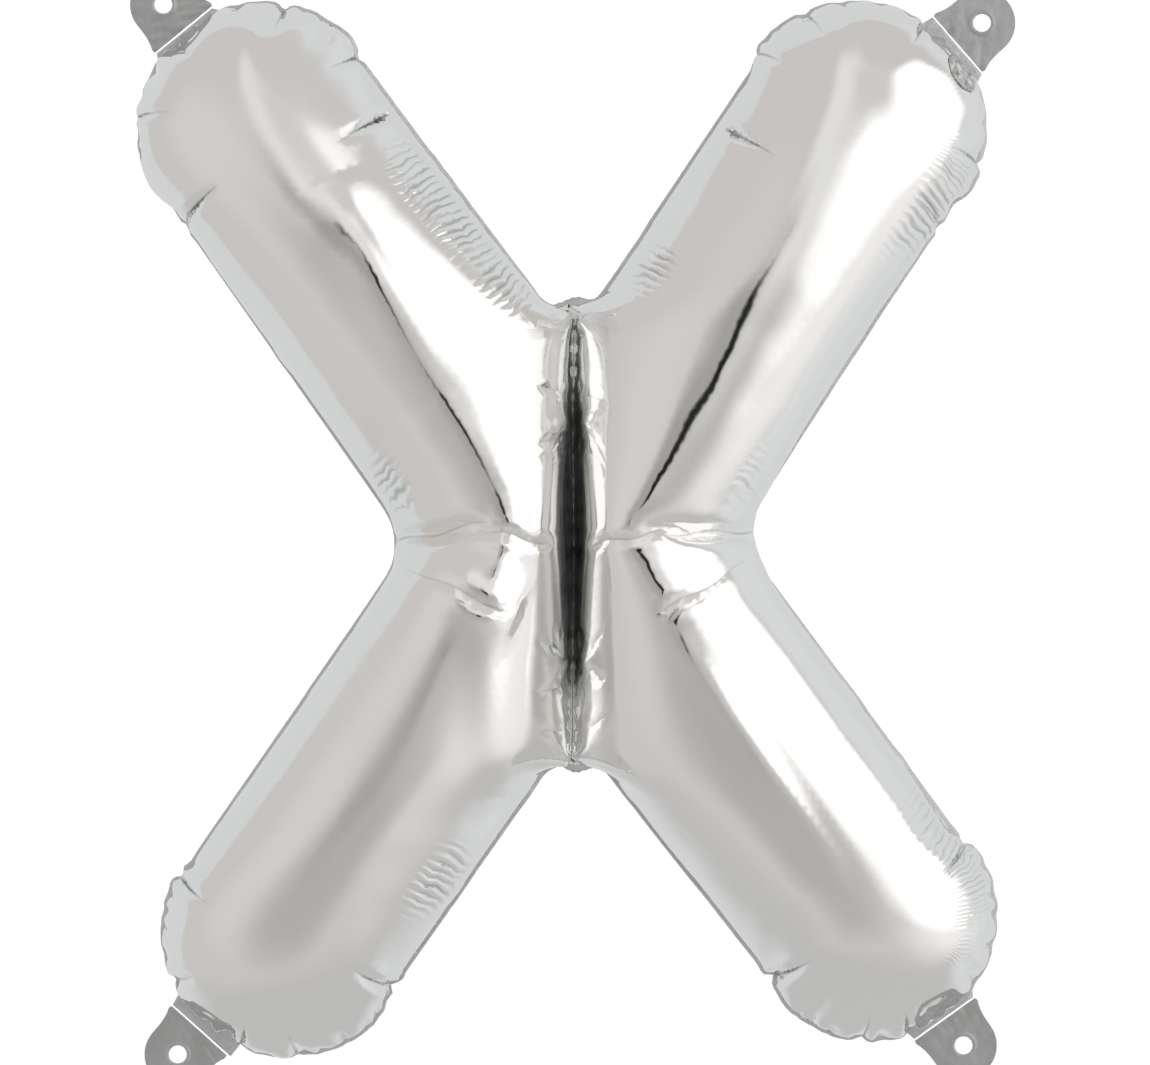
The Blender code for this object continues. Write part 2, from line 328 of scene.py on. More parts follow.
@dataclass(frozen=True)
class MirrorFoil(Finish):
    """Aluminised film: a mirror with a little haze, fine puckers along its welds, and film ripple.

    Its UV map "seam" holds (way along, way in from) the nearest weld, and its UV map "fold" (way
    across, depth of) the nearest crease, for the painted shade line along it and its bump.
    """

    tint: Colour = (0.93, 0.925, 0.915)
    dulled: float = 0.975  # the share of the tint where the film is duller
    clouds: Grain = Grain(5.0, 3.0)
    roughness: tuple[float, float] = (0.035, 0.085)
    haze: Grain = Grain(9.0, 4.0, 0.6)
    wear: Grain = Grain(60.0, 6.0, 0.7, (0.62, 0.8))
    worn: float = 0.05  # roughness
    ripple: float = 0.05 * MM
    ripples: Grain = Grain(38.0, 2.0, 0.4)
    ripple_strength: float = 0.9
    # Painted shade: a dark line along each crease, darkest where it is deep; and the crease's bump.
    fold_line: float = 0.38 * MM
    fold_ridge: float = 1.0 * MM
    fold_relief: float = 1.2
    fold_full: float = 0.8 * MM  # the depth from which a fold's painted shade line is at its darkest
    fold_shade: float = 0.8
    fold_shade_colour: Colour = (0.04, 0.04, 0.042)
    fold_breaks: Grain = Grain(120.0, 2.0, band=(0.38, 0.6))
    fold_faint: float = 0.45  # the share of its shade where the line is broken
    pucker_pitch: float = 2.9 * MM
    pucker_wander: float = 1.7  # pitches
    pucker_drift: Grain = Grain(60.0, 2.0)
    pucker_stretch: float = 60.0  # how fast their height changes inwards from the weld
    pucker_heights: Grain = Grain(0.6, 2.0, 0.5, (0.35, 0.7))
    pucker_height: tuple[float, float] = (0.2, 0.5)
    pucker_depth: float = 0.6 * MM
    furrow: tuple[float, float] = (-0.06, -0.3)  # the heights between which a furrow is painted darker, as shade
    pucker_start: tuple[float, float] = (7 * MM, 13 * MM)  # in from the weld
    pucker_end: tuple[float, float] = (33 * MM, 25 * MM)
    # painted shade in the puckers' furrows
    pucker_shade: float = 0.55
    pucker_shade_colour: Colour = (0.30, 0.30, 0.31)
    # Painted shade on the groove's bottom, and a painted glow on its walls:
    groove_shade_colour: Colour = (0.07, 0.085, 0.075)
    groove_light: float = 0.02  # painted glow that stands in for light thrown to and fro between the groove's walls
    groove_tint: Colour = (0.94, 1.0, 0.96)
    groove_mottle: Grain = Grain(160.0, 3.0, 0.6, (0.35, 0.65))
    groove_spread: tuple[float, float] = (0.35, 1.6)

    def looks(self, bench: NodeBench, spot: Socket) -> dict[str, object]:
        """Mirror, haze, folds and puckers with painted shade, ripple, and painted shade and glow in the
        groove.

        Args:
            bench: the material's nodes.
            spot: the socket of the object coordinates.

        Returns:
            What goes to the shader, by the name of its socket.
        """
        hazy = bench.maths("ADD", bench.cloud(spot, self.wear, 0.0, self.worn), bench.attribute("haze"))
        rough = bench.maths("ADD", bench.cloud(spot, self.haze, *self.roughness), hazy)
        colour = bench.mix(bench.cloud(spot, self.clouds), self.tint, duller(self.tint, self.dulled))

        # Painted shade: a dark, broken line along the crease nearest each face; then the crease's bump.
        fold = bench.node("SeparateXYZ", Vector=bench.node("UVMap", uv_map="fold").outputs[0]).outputs
        aside = bench.maths("ABSOLUTE", fold[0])
        deep = bench.span(fold[1], 0.0, self.fold_full, 0.0, self.fold_shade)
        broken = bench.cloud(spot, self.fold_breaks, self.fold_faint)
        line = bench.times(bench.bell(aside, self.fold_line), deep, broken)
        colour = bench.mix(line, colour, self.fold_shade_colour)
        ridge = bench.maths("EXPONENT", bench.maths("DIVIDE", aside, -self.fold_ridge))
        normal = bench.bump(bench.times(ridge, fold[1]), -self.fold_relief, 1.0)

        raised = self.puckers(bench)
        # painted shade: the puckers' furrows are mixed towards a darker colour
        furrow = bench.span(raised, *self.furrow, 0.0, self.pucker_shade)
        colour = bench.mix(furrow, colour, self.pucker_shade_colour)
        normal = bench.bump(raised, self.pucker_depth, 1.0, normal)
        normal = bench.bump(bench.noise(spot, self.ripples), self.ripple, self.ripple_strength, normal)

        # painted glow along the groove's walls, mottled
        mottle = bench.cloud(spot, self.groove_mottle, *self.groove_spread)
        return {
            "Metallic": 1.0,
            "Roughness": rough,
            # painted shade: the groove's bottom is mixed towards a dark colour
            "Base Color": bench.mix(bench.attribute("bottom"), colour, self.groove_shade_colour),
            # painted glow: the film emits light in the groove, though it is no lamp
            "Emission Color": self.groove_tint,
            "Emission Strength": bench.times(bench.attribute("groove"), mottle, self.groove_light),
            "Normal": normal,
        }

    def puckers(self, bench: NodeBench) -> Socket:
        """The height of the puckers, short uneven waves square to the weld.

        Args:
            bench: the film's nodes.

        Returns:
            The socket of the height, below 0 in the furrows.
        """
        seam = bench.node("UVMap", uv_map="seam").outputs[0]
        along, inward, _ = bench.node("SeparateXYZ", Vector=seam).outputs
        wander = bench.times(bench.noise(seam, self.pucker_drift), self.pucker_wander)
        steps = bench.maths("ADD", bench.maths("DIVIDE", along, self.pucker_pitch), wander)
        waves = bench.maths("SINE", bench.times(steps, 2 * math.pi))
        inwards = bench.times(inward, self.pucker_stretch)
        drawn_out = bench.node("CombineXYZ", X=steps, Y=inwards).outputs[0]
        uneven = bench.cloud(drawn_out, self.pucker_heights, *self.pucker_height)
        start = bench.span(inward, *self.pucker_start, 0.0, 1.0)
        end = bench.span(inward, *self.pucker_end, 0.0, 1.0)
        return bench.times(waves, uneven, start, end, bench.attribute("pucker"))


@dataclass(frozen=True)
class CrinkledFoil(Finish):
    """Two layers of film welded together: a duller mirror with crinkles."""

    tint: Colour
    roughness: tuple[float, float]
    crinkle: float
    metallic: float = 1.0
    crinkle_scale: float = 230.0
    crinkle_edge: float = 0.25  # of a crinkle's width
    crinkle_strength: float = 0.5
    dulled: float = 0.86  # the share of the tint where the film is duller
    clouds: Grain = Grain(120.0, 4.0, 0.6, (0.35, 0.7))
    haze: Grain = Grain(300.0, 5.0, 0.65)
    finest: Grain = Grain(420.0, 4.0, 0.6)
    finest_height: float = 1.5  # of the crinkles' height
    finest_strength: float = 0.7

    def looks(self, bench: NodeBench, spot: Socket) -> dict[str, object]:
        """Cloudy tint, cloudy haze, and crinkles in two sizes.

        Args:
            bench: the material's nodes.
            spot: the socket of the object coordinates.

        Returns:
            What goes to the shader, by the name of its socket.
        """
        cells = bench.node("TexVoronoi", feature="DISTANCE_TO_EDGE", Vector=spot, Scale=self.crinkle_scale)
        folds = bench.span(cells.outputs["Distance"], 0.0, self.crinkle_edge, 0.0, 1.0)
        normal = bench.bump(folds, self.crinkle, self.crinkle_strength)
        dull = duller(self.tint, self.dulled)
        fine, height = bench.noise(spot, self.finest), self.crinkle * self.finest_height
        return {
            "Metallic": self.metallic,
            "Roughness": bench.cloud(spot, self.haze, *self.roughness),
            "Base Color": bench.mix(bench.cloud(spot, self.clouds), self.tint, dull),
            "Normal": bench.bump(fine, height, self.finest_strength, normal),
        }


@dataclass(frozen=True)
class ValveFilm(Finish):
    """The clear plastic film of the filling valve, grey and mottled over the foil."""

    dark: Colour = (0.26, 0.26, 0.25)
    light: Colour = (0.74, 0.73, 0.71)
    metallic: float = 0.35
    refraction: float = 1.5
    roughness: tuple[float, float] = (0.18, 0.42)
    haze: Grain = Grain(420.0, 5.0, 0.6)
    mottle: Grain = Grain(420.0, 5.0, 0.6, (0.38, 0.62))
    wrinkle: float = 0.5 * MM
    wrinkles: Grain = Grain(520.0, 4.0, 0.6)
    wrinkle_strength: float = 0.8

    def looks(self, bench: NodeBench, spot: Socket) -> dict[str, object]:
        """Mottled grey, cloudy haze, and fine wrinkles.

        Args:
            bench: the material's nodes.
            spot: the socket of the object coordinates.

        Returns:
            What goes to the shader, by the name of its socket.
        """
        return {
            "Metallic": self.metallic,
            "IOR": self.refraction,
            "Roughness": bench.cloud(spot, self.haze, *self.roughness),
            "Base Color": bench.mix(bench.cloud(spot, self.mottle), self.dark, self.light),
            "Normal": bench.bump(bench.noise(spot, self.wrinkles), self.wrinkle, self.wrinkle_strength),
        }


@dataclass(frozen=True)
class FloorPaint(Finish):
    """The studio's pale floor."""

    light: float = 0.92
    dulled: float = 0.985  # the share of the light where the floor is duller
    clouds: Grain = Grain(3.0, 6.0)
    roughness: float = 0.8

    def looks(self, bench: NodeBench, spot: Socket) -> dict[str, object]:
        """A pale, faintly cloudy paint.

        Args:
            bench: the material's nodes.
            spot: the socket of the object coordinates.

        Returns:
            What goes to the shader, by the name of its socket.
        """
        pale = (self.light,) * 3
        colour = bench.mix(bench.cloud(spot, self.clouds), pale, duller(pale, self.dulled))
        return {"Roughness": self.roughness, "Base Color": colour}


# Ways to make and finish a piece's mesh.


def bell(aside: np.ndarray, width: float) -> np.ndarray:
    """A bell curve over a distance: 1 at 0, and 1/e at the width."""
    return np.exp(-((aside / width) ** 2))


def ramp(values: np.ndarray, start: float, run: float) -> np.ndarray:
    """Goes from 0 at the start to 1 a run further on, and stays within them."""
    return np.clip((values - start) / run, 0.0, 1.0)


def only(piece: bpy.types.Object | None) -> None:
    """Selects this object alone and makes it active, or deselects everything.

    Args:
        piece: the object, or None.
    """
    for other in bpy.context.selected_objects:
        other.select_set(False)
    if piece is not None:
        piece.select_set(True)
        bpy.context.view_layer.objects.active = piece


def apply_modifiers(piece: bpy.types.Object) -> None:
    """Applies all modifiers of a piece, in order.

    Args:
        piece: the piece.
    """
    only(piece)
    for modifier in list(piece.modifiers):
        bpy.ops.object.modifier_apply(modifier=modifier.name)


def new_piece(name: str, points: Sequence, faces: Sequence) -> bpy.types.Object:
    """A mesh object in the scene.

    Args:
        name: its name, and its mesh's.
        points: rows of x, y and z.
        faces: rows of point numbers.

    Returns:
        The object.
    """
    mesh = bpy.data.meshes.new(name)
    rows = (part.tolist() if isinstance(part, np.ndarray) else part for part in (points, faces))
    mesh.from_pydata(next(rows), [], next(rows))
    piece = bpy.data.objects.new(name, mesh)
    bpy.context.scene.collection.objects.link(piece)
    return piece


def discard(piece: bpy.types.Object) -> None:
    """Deletes an object that was only needed for a while, and its mesh.

    Args:
        piece: the object.
    """
    mesh = piece.data
    bpy.data.objects.remove(piece)
    bpy.data.meshes.remove(mesh)


def fetch(items: bpy.types.bpy_prop_collection, name: str, width: int, kind: type = float) -> np.ndarray:
    """Reads a value of each item, such as the place of each point.

    Args:
        items: the items.
        name: the value's name.
        width: how many numbers it has.
        kind: their type.

    Returns:
        Rows of that width.
    """
    values = np.empty(len(items) * width, kind)
    items.foreach_get(name, values)
    return values.reshape(-1, width)


def store(mesh: bpy.types.Mesh, name: str, values: np.ndarray) -> None:
    """Stores a number for each point of a mesh."""
    mesh.attributes.new(name, "FLOAT", "POINT").data.foreach_set("value", values)


def thicken(piece: bpy.types.Object, thickness: float, offset: float) -> None:
    """Turns a single layer into film with a thickness.

    Args:
        piece: the piece.
        thickness: the film's thickness.
        offset: 0 where it grows to both sides, -1 where it grows to the back.
    """
    wall = piece.modifiers.new("wall", "SOLIDIFY")
    wall.thickness, wall.offset = thickness, offset
    apply_modifiers(piece)


def complete(piece: bpy.types.Object, finish: Finish) -> None:
    """Merges doubles, turns every face outwards and gives the piece its finish.

    Args:
        piece: the piece.
        finish: the finish.
    """
    bm = bmesh.new()
    bm.from_mesh(piece.data)
    bmesh.ops.remove_doubles(bm, verts=bm.verts, dist=1e-6)
    bmesh.ops.recalc_face_normals(bm, faces=bm.faces)
    bm.to_mesh(piece.data)
    bm.free()
    piece.data.shade_smooth()
    piece.data.materials.append(finish.make(piece.name))
    log.info("%s: %d faces", piece.name, len(piece.data.polygons))


def attach(piece: bpy.types.Object, body: str, node: str) -> None:
    """Tells the frame about a piece.

    Args:
        piece: the piece.
        body: the body that it rides on.
        node: the node that it replaces.
    """
    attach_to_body(piece, body)
    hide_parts(node)


# The flat pattern that the film is cut to.

FOLD_REACH = 2 * MM  # beside a fold, where its painted shade line is drawn
FOLD_SPREAD = 0.05  # radians round an end over which a fold draws the weld in
SHOULDER_SPREAD = 0.1  # radians over which an end swells out beside its shoulders


def tangent_point(point: Vector, centre: Vector, radius: float, side: int) -> Vector:
    """Where a straight line from a point touches a circle.

    Args:
        point: the (x, z) point outside the circle.
        centre: the circle's centre.
        radius: the circle's radius.
        side: 1 where the circle lies to the left of the line, as seen from the point, else -1.

    Returns:
        The touching point.
    """
    way = centre - point
    reach = way.length
    lean = math.asin(radius / reach)
    length = math.sqrt(reach * reach - radius * radius)
    angle = math.atan2(way.y, way.x) - side * lean
    return point + Vector((math.cos(angle), math.sin(angle))) * length


@dataclass(frozen=True)
class Stretch:
    """A straight stretch of a weld or, with a centre, an arc of it. Points are (x, z)."""

    start: Vector
    end: Vector
    centre: Vector | None = None
    turn: int = 1  # 1 where the arc runs anticlockwise, else -1
    swell: float = 0.0  # how far the arc bulges out between its ends
    folds: tuple[tuple[float, float], ...] = ()  # where and how far the weld is drawn in

    def first(self) -> float:
        """The angle at which the arc starts."""
        way = self.start - self.centre
        return math.atan2(way.y, way.x)

    def sweep(self) -> float:
        """The angle that the arc covers."""
        way = self.end - self.centre
        return (math.atan2(way.y, way.x) - self.first()) * self.turn % (2 * math.pi)

    def length(self) -> float:
        """The stretch's length.

        Returns:
            Metres.
        """
        if self.centre is None:
            return (self.end - self.start).length
        return self.sweep() * (self.start - self.centre).length

    def points(self, count: int) -> list[Vector]:
        """Evenly spaced points along the stretch, without its last one.

        Args:
            count: how many.

        Returns:
            The points.
        """
        shares = [k / count for k in range(count)]
        if self.centre is None:
            return [self.start.lerp(self.end, share) for share in shares]
        first, sweep, radius = self.first(), self.sweep(), (self.start - self.centre).length
        made = []
        for share in shares:
            angle = first + self.turn * sweep * share
            shoulder = min(share, 1.0 - share) * sweep
            bulge = self.swell * (1.0 - math.exp(-shoulder / SHOULDER_SPREAD))
            reach = radius + bulge - self.drawn_in(angle)
            made.append(self.centre + Vector((math.cos(angle), math.sin(angle))) * reach)
        return made

    def drawn_in(self, angle: float) -> float:
        """How far the folds draw the weld in.

        Args:
            angle: the angle round the arc's centre.

        Returns:
            The distance.
        """
        inwards = 0.0
        for degrees, depth in self.folds:
            off = (angle - math.radians(degrees) + math.pi) % (2 * math.pi) - math.pi
            inwards += depth * MM * math.exp(-abs(off) / FOLD_SPREAD)
        return inwards


def fillet(before: Vector, corner: Vector, after: Vector, radius: float) -> Stretch:
    """The arc that rounds a corner.

    Args:
        before: a point on the line that comes in.
        corner: the corner.
        after: a point on the line that goes out.
        radius: the arc's radius.

    Returns:
        The arc.
    """
    back, ahead = (before - corner).normalized(), (after - corner).normalized()
    half = math.acos(max(-1.0, min(1.0, back.dot(ahead)))) / 2
    run = radius / math.tan(half)
    centre = corner + (back + ahead).normalized() * (radius / math.sin(half))
    turn = 1 if back.x * ahead.y - back.y * ahead.x < 0 else -1
    return Stretch(corner + back * run, corner + ahead * run, centre, turn)


@dataclass(frozen=True)
class LobeWeld:
    """The weld round one half of the letter, flat or blown up: two arms that meet at the waist.

    Points are (x, z), lengths are in metres, from the letter's centre.
    """

    right: int  # 1 for the right lobe, -1 for the left one
    ends: tuple[Vector, Vector]  # the centres of the upper and the lower round end
    halves: tuple[float, float]  # their radii
    notch: Vector  # where the two outer edges would meet
    notch_radius: float
    tips: tuple[Vector, Vector]  # the centre weld's top and bottom
    crotch: float  # how far from there the inner edges begin
    crotch_radius: float
    swells: tuple[float, float] = (0.0, 0.0)
    folds: tuple[tuple, tuple] = ((), ())

    def stretches(self) -> list[Stretch]:
        """The weld's stretches, from the top of the centre weld round to the top again.

        Returns:
            The stretches in order.
        """
        right, (upper, lower), (top, bottom) = self.right, self.ends, self.tips
        top_bend = top + Vector((right * self.crotch, 0))
        low_bend = bottom + Vector((right * self.crotch, 0))
        up_in = tangent_point(top_bend, upper, self.halves[0], -right)
        up_out = tangent_point(self.notch, upper, self.halves[0], right)
        low_out = tangent_point(self.notch, lower, self.halves[1], -right)
        low_in = tangent_point(low_bend, lower, self.halves[1], right)
        first = fillet(top, top_bend, up_in, self.crotch_radius)
        waist = fillet(up_out, self.notch, low_out, self.notch_radius)
        last = fillet(low_in, low_bend, bottom, self.crotch_radius)
        return [
            Stretch(top, first.start),
            first,
            Stretch(first.end, up_in),
            Stretch(up_in, up_out, upper, -right, self.swells[0], self.folds[0]),
            Stretch(up_out, waist.start),
            waist,
            Stretch(waist.end, low_out),
            Stretch(low_out, low_in, lower, -right, self.swells[1], self.folds[1]),
            Stretch(low_in, last.start),
            last,
            Stretch(last.end, bottom),
            Stretch(bottom, top),
        ]


@dataclass(frozen=True)
class RoundEnd:
    """The blown-up round end of an arm, in millimetres from the letter's centre."""

    x: float
    z: float
    half: float  # half the width of the arm
    swell: float  # how much wider the round end is
    folds: tuple[tuple[float, float], ...]  # sharp folds at the weld: degrees round, and depth

    def hub(self) -> Vector:
        """The end's centre, in metres."""
        return Vector((self.x, self.z)) * MM


# The blown-up weld, measured in the photograph, in millimetres from the letter's centre.
ROUND_ENDS = {
    Corner.UPPER_LEFT: RoundEnd(
        -102.8, 135.5, 39.0, 2.6, ((137, 1.2), (81, 1.2), (38, 1.5), (3, 2.5), (176, 1.5), (232, 2.5))
    ),
    Corner.UPPER_RIGHT: RoundEnd(
        91.5, 134.0, 39.4, 3.8, ((141, 1.2), (112, 1.2), (57, 1.5), (183, 2.5), (-14, 1.5), (-48, 1.5))
    ),
    Corner.LOWER_LEFT: RoundEnd(
        -95.0, -128.5, 38.8, 2.8, ((153, 2.0), (203, 1.2), (247, 1.2), (274, 1.2), (332, 2.5))
    ),
    Corner.LOWER_RIGHT: RoundEnd(96.8, -123.8, 38.8, 2.4, ((212, 2.5), (266, 1.2), (288, 1.2), (38, 2.0))),
}
NOTCHES = {-1: (-54.6, -1.4), 1: (51.8, 1.5)}  # where the outer edges would meet at the waist
TIPS = ((-2.6, 76.5), (-0.3, -73.0))  # of the centre weld


@dataclass
class LobePattern:
    """The film as it is cut and welded, and the weld's form once the letter is blown up."""

    spacing: float
    grow: tuple[float, float] = (1.08, 1.07)  # the flat hubs' distances over the blown-up ones
    end_half: float = 58.0 * MM
    notch_x: float = 99.0 * MM
    notch_radius: float = 20.0 * MM
    crotch_x: float = 6.0 * MM
    crotch_z: float = 83.0 * MM
    crotch_radius: float = 6.0 * MM
    full_crotch: float = 8.0 * MM
    unevenness: float = 0.15  # of the spacing, so that the cloth has no grain

    def welds(self, right: int) -> tuple[LobeWeld, LobeWeld]:
        """The weld of one lobe, flat and blown up.

        Args:
            right: 1 for the right lobe, -1 for the left one.

        Returns:
            Both forms of the weld.
        """
        side = "RIGHT" if right > 0 else "LEFT"
        ends = [ROUND_ENDS[Corner[f"{height}_{side}"]] for height in ("UPPER", "LOWER")]
        grow = Vector(self.grow)
        crotch = Vector((0, self.crotch_z))
        flat = LobeWeld(
            right,
            tuple(end.hub() * grow for end in ends),
            (self.end_half, self.end_half),
            Vector((right * self.notch_x, 0)),
            self.notch_radius,
            (crotch, -crotch),
            self.crotch_x,
            self.crotch_radius,
        )
        full = LobeWeld(
            right,
            tuple(end.hub() for end in ends),
            tuple(end.half * MM for end in ends),
            Vector(NOTCHES[right]) * MM,
            self.notch_radius,
            tuple(Vector(tip) * MM for tip in TIPS),
            self.full_crotch,
            self.crotch_radius,
            swells=tuple(end.swell * MM for end in ends),
            folds=tuple(end.folds for end in ends),
        )
        return flat, full

    def outlines(self, right: int) -> tuple[list[Vector], list[Vector]]:
        """Matching points round the flat and the blown-up weld of one lobe.

        Args:
            right: 1 for the right lobe, -1 for the left one.

        Returns:
            Both rows of points.
        """
        flat, full = (weld.stretches() for weld in self.welds(right))
        counts = [max(2, round(stretch.length() / self.spacing)) for stretch in flat]
        return tuple(
            [p for stretch, count in zip(weld, counts) for p in stretch.points(count)]
            for weld in (flat, full)
        )

    def triangles(self, rim: np.ndarray) -> tuple[np.ndarray, np.ndarray]:
        """Fills an outline with evenly sized triangles.

        Args:
            rim: the outline's rows of (x, z), in order.

        Returns:
            All points, the outline's first, and the triangles as rows of three point numbers.
        """
        low, high = rim.min(axis=0), rim.max(axis=0)
        rows = np.arange(low[1], high[1], self.spacing * math.sqrt(3) / 2)
        across = np.arange(low[0], high[0], self.spacing)
        grid = np.array([(x + (k % 2) * self.spacing / 2, z) for k, z in enumerate(rows) for x in across])
        shift = np.random.default_rng(1).uniform(-self.unevenness, self.unevenness, grid.shape)
        grid += shift * self.spacing
        grid = grid[inside_loop(grid, rim)]
        grid = grid[loop_distance(grid, rim)[0] > self.spacing * 0.6]
        edges = [(k, (k + 1) % len(rim)) for k in range(len(rim))]
        made = delaunay_2d_cdt([Vector(p) for p in (*rim, *grid)], edges, [], 1, 1e-7)
        return np.array([tuple(p) for p in made[0]]), np.array(made[2])


def inside_loop(points: np.ndarray, loop: np.ndarray) -> np.ndarray:
    """Whether each point lies inside a closed loop.

    Args:
        points: rows of (x, z).
        loop: the loop's rows of (x, z).

    Returns:
        True or False for each point.
    """
    x, z = points[:, 0], points[:, 1]
    found = np.zeros(len(points), bool)
    for (x1, z1), (x2, z2) in zip(loop, np.roll(loop, -1, axis=0)):
        crosses = (z1 > z) != (z2 > z)
        found ^= crosses & (x < (x2 - x1) * (z - z1) / (z2 - z1 + 1e-18) + x1)
    return found


def loop_distance(points: np.ndarray, loop: np.ndarray) -> tuple[np.ndarray, np.ndarray]:
    """How far each point lies from a closed loop, and where along it the nearest place is.

    Args:
        points: rows of (x, z).
        loop: the loop's rows of (x, z).

    Returns:
        The distances, and the ways along the loop, both in metres.
    """
    best, along, run = np.full(len(points), np.inf), np.zeros(len(points)), 0.0
    for start, end in zip(loop, np.roll(loop, -1, axis=0)):
        way = end - start
        length = float(np.hypot(*way))
        share = np.clip((points - start) @ way / (length * length + 1e-18), 0, 1)
        gap = np.linalg.norm(points - start - share[:, None] * way, axis=1)
        nearer = gap < best
        best[nearer] = gap[nearer]
        along[nearer] = run + share[nearer] * length
        run += length
    return best, along


@dataclass
class FlatSheets:
    """Both sheets of both lobes, laid flat and welded at their outlines."""

    points: list[tuple] = field(default_factory=list)  # x, y, z
    faces: list[list[int]] = field(default_factory=list)
    front: list[bool] = field(default_factory=list)  # whether each face belongs to the front sheet
    seam: list[tuple] = field(default_factory=list)  # each point's way along and in from its weld
    held: dict[int, tuple] = field(default_factory=dict)  # where the welded points are drawn to

    @classmethod
    def cut(cls, pattern: LobePattern, lift: float) -> "FlatSheets":
        """Cuts and welds the sheets.

        Args:
            pattern: the lobes' pattern.
            lift: how far the sheets stand apart, inside the welds, before they are inflated.

        Returns:
            The sheets.
        """
        sheets, numbers = cls(), {}
        for right in (-1, 1):
            loop, blown = pattern.outlines(right)
            rim = np.array([tuple(p) for p in loop])
            flat, triangles = pattern.triangles(rim)
            inward, along = loop_distance(flat, rim)
            on_weld = inward < 1e-6
            for face in Face:
                ids = []
                for k, (x, z) in enumerate(flat):
                    level = 0 if on_weld[k] else face.value
                    key = (round(x, 7), round(z, 7), level)
                    if key not in numbers:
                        numbers[key] = len(sheets.points)
                        sheets.points.append((x, level * lift, z))
                        sheets.seam.append((right * along[k], inward[k], 0.0))
                        tip = abs(abs(z) - pattern.crotch_z) < 1e-6
                        if k < len(loop) and (abs(x) > 1e-6 or tip):
                            sheets.held[numbers[key]] = (blown[k].x, 0.0, blown[k].y)
                    ids.append(numbers[key])
                for a, b, c in triangles:
                    p, q, r = flat[a], flat[b], flat[c]
                    turn = (q[0] - p[0]) * (r[1] - p[1]) - (q[1] - p[1]) * (r[0] - p[0])
                    outwards = (turn > 0) == (face is Face.FRONT)
                    sheets.faces.append([ids[a], ids[b], ids[c]] if outwards else [ids[a], ids[c], ids[b]])
                    sheets.front.append(face is Face.FRONT)
        return sheets


CLOTH = {  # how the film stretches, bends and fills, by Blender's names
    "quality": 6,
    "mass": 0.3,
    "tension_stiffness": 200.0,
    "compression_stiffness": 0.2,
    "shear_stiffness": 2.0,
    "bending_stiffness": 0.01,
    "tension_damping": 5.0,
    "compression_damping": 5.0,
    "shear_damping": 5.0,
    "bending_damping": 0.5,
    "air_damping": 3.0,
    "use_pressure": True,
    "uniform_pressure_force": 300.0,
    "pin_stiffness": 1.0,
}


@dataclass
class Inflation:
    """Fills the welded sheets with air: Blender's cloth under pressure, with no gravity."""

    frames: int = 40
    draw_in: int = 15  # the frame by which the held points have reached their places

    def run(self, sheets: FlatSheets) -> np.ndarray:
        """Inflates the sheets.

        Args:
            sheets: the flat, welded sheets.

        Returns:
            The points' new places.
        """
        body = new_piece("inflating", sheets.points, sheets.faces)
        body.shape_key_add(name="flat")
        key = body.shape_key_add(name="held")
        for number, place in sheets.held.items():
            key.data[number].co = place
        group = body.vertex_groups.new(name="held")
        group.add(list(sheets.held), 1.0, "REPLACE")
        for value, frame in ((0.0, 1), (1.0, self.draw_in)):
            key.value = value
            key.keyframe_insert("value", frame=frame)
        self.set_up(body.modifiers.new("air", "CLOTH"), group.name)
        scene = bpy.context.scene
        scene.frame_start, scene.frame_end = 1, self.frames
        for frame in range(1, self.frames + 1):
            scene.frame_set(frame)
        done = body.evaluated_get(bpy.context.evaluated_depsgraph_get()).to_mesh()
        places = fetch(done.vertices, "co", 3)
        scene.frame_set(1)
        action = body.data.shape_keys.animation_data.action
        discard(body)
        bpy.data.actions.remove(action)
        return places

    def set_up(self, cloth: bpy.types.Modifier, group: str) -> None:
        """Sets the cloth modifier.

        Args:
            cloth: the modifier.
            group: the vertex group of the held points.
        """
        for name, value in {**CLOTH, "vertex_group_mass": group}.items():
            setattr(cloth.settings, name, value)
        cloth.settings.effector_weights.gravity = 0.0
        cloth.collision_settings.use_collision = False
        cloth.collision_settings.use_self_collision = False
        cloth.point_cache.frame_start, cloth.point_cache.frame_end = 1, self.frames


# What is pressed into the inflated film.

LIP_PLACE = 2.2  # crease widths from a crease to the crest of the lip beside it
LIP_WIDTH = 1.3  # crease widths
SOFT_START = 3 * MM  # how far before its start a crease begins
SEAM_BLEND = 10 * MM  # the depth of film over which one sheet's crease dies out towards the weld


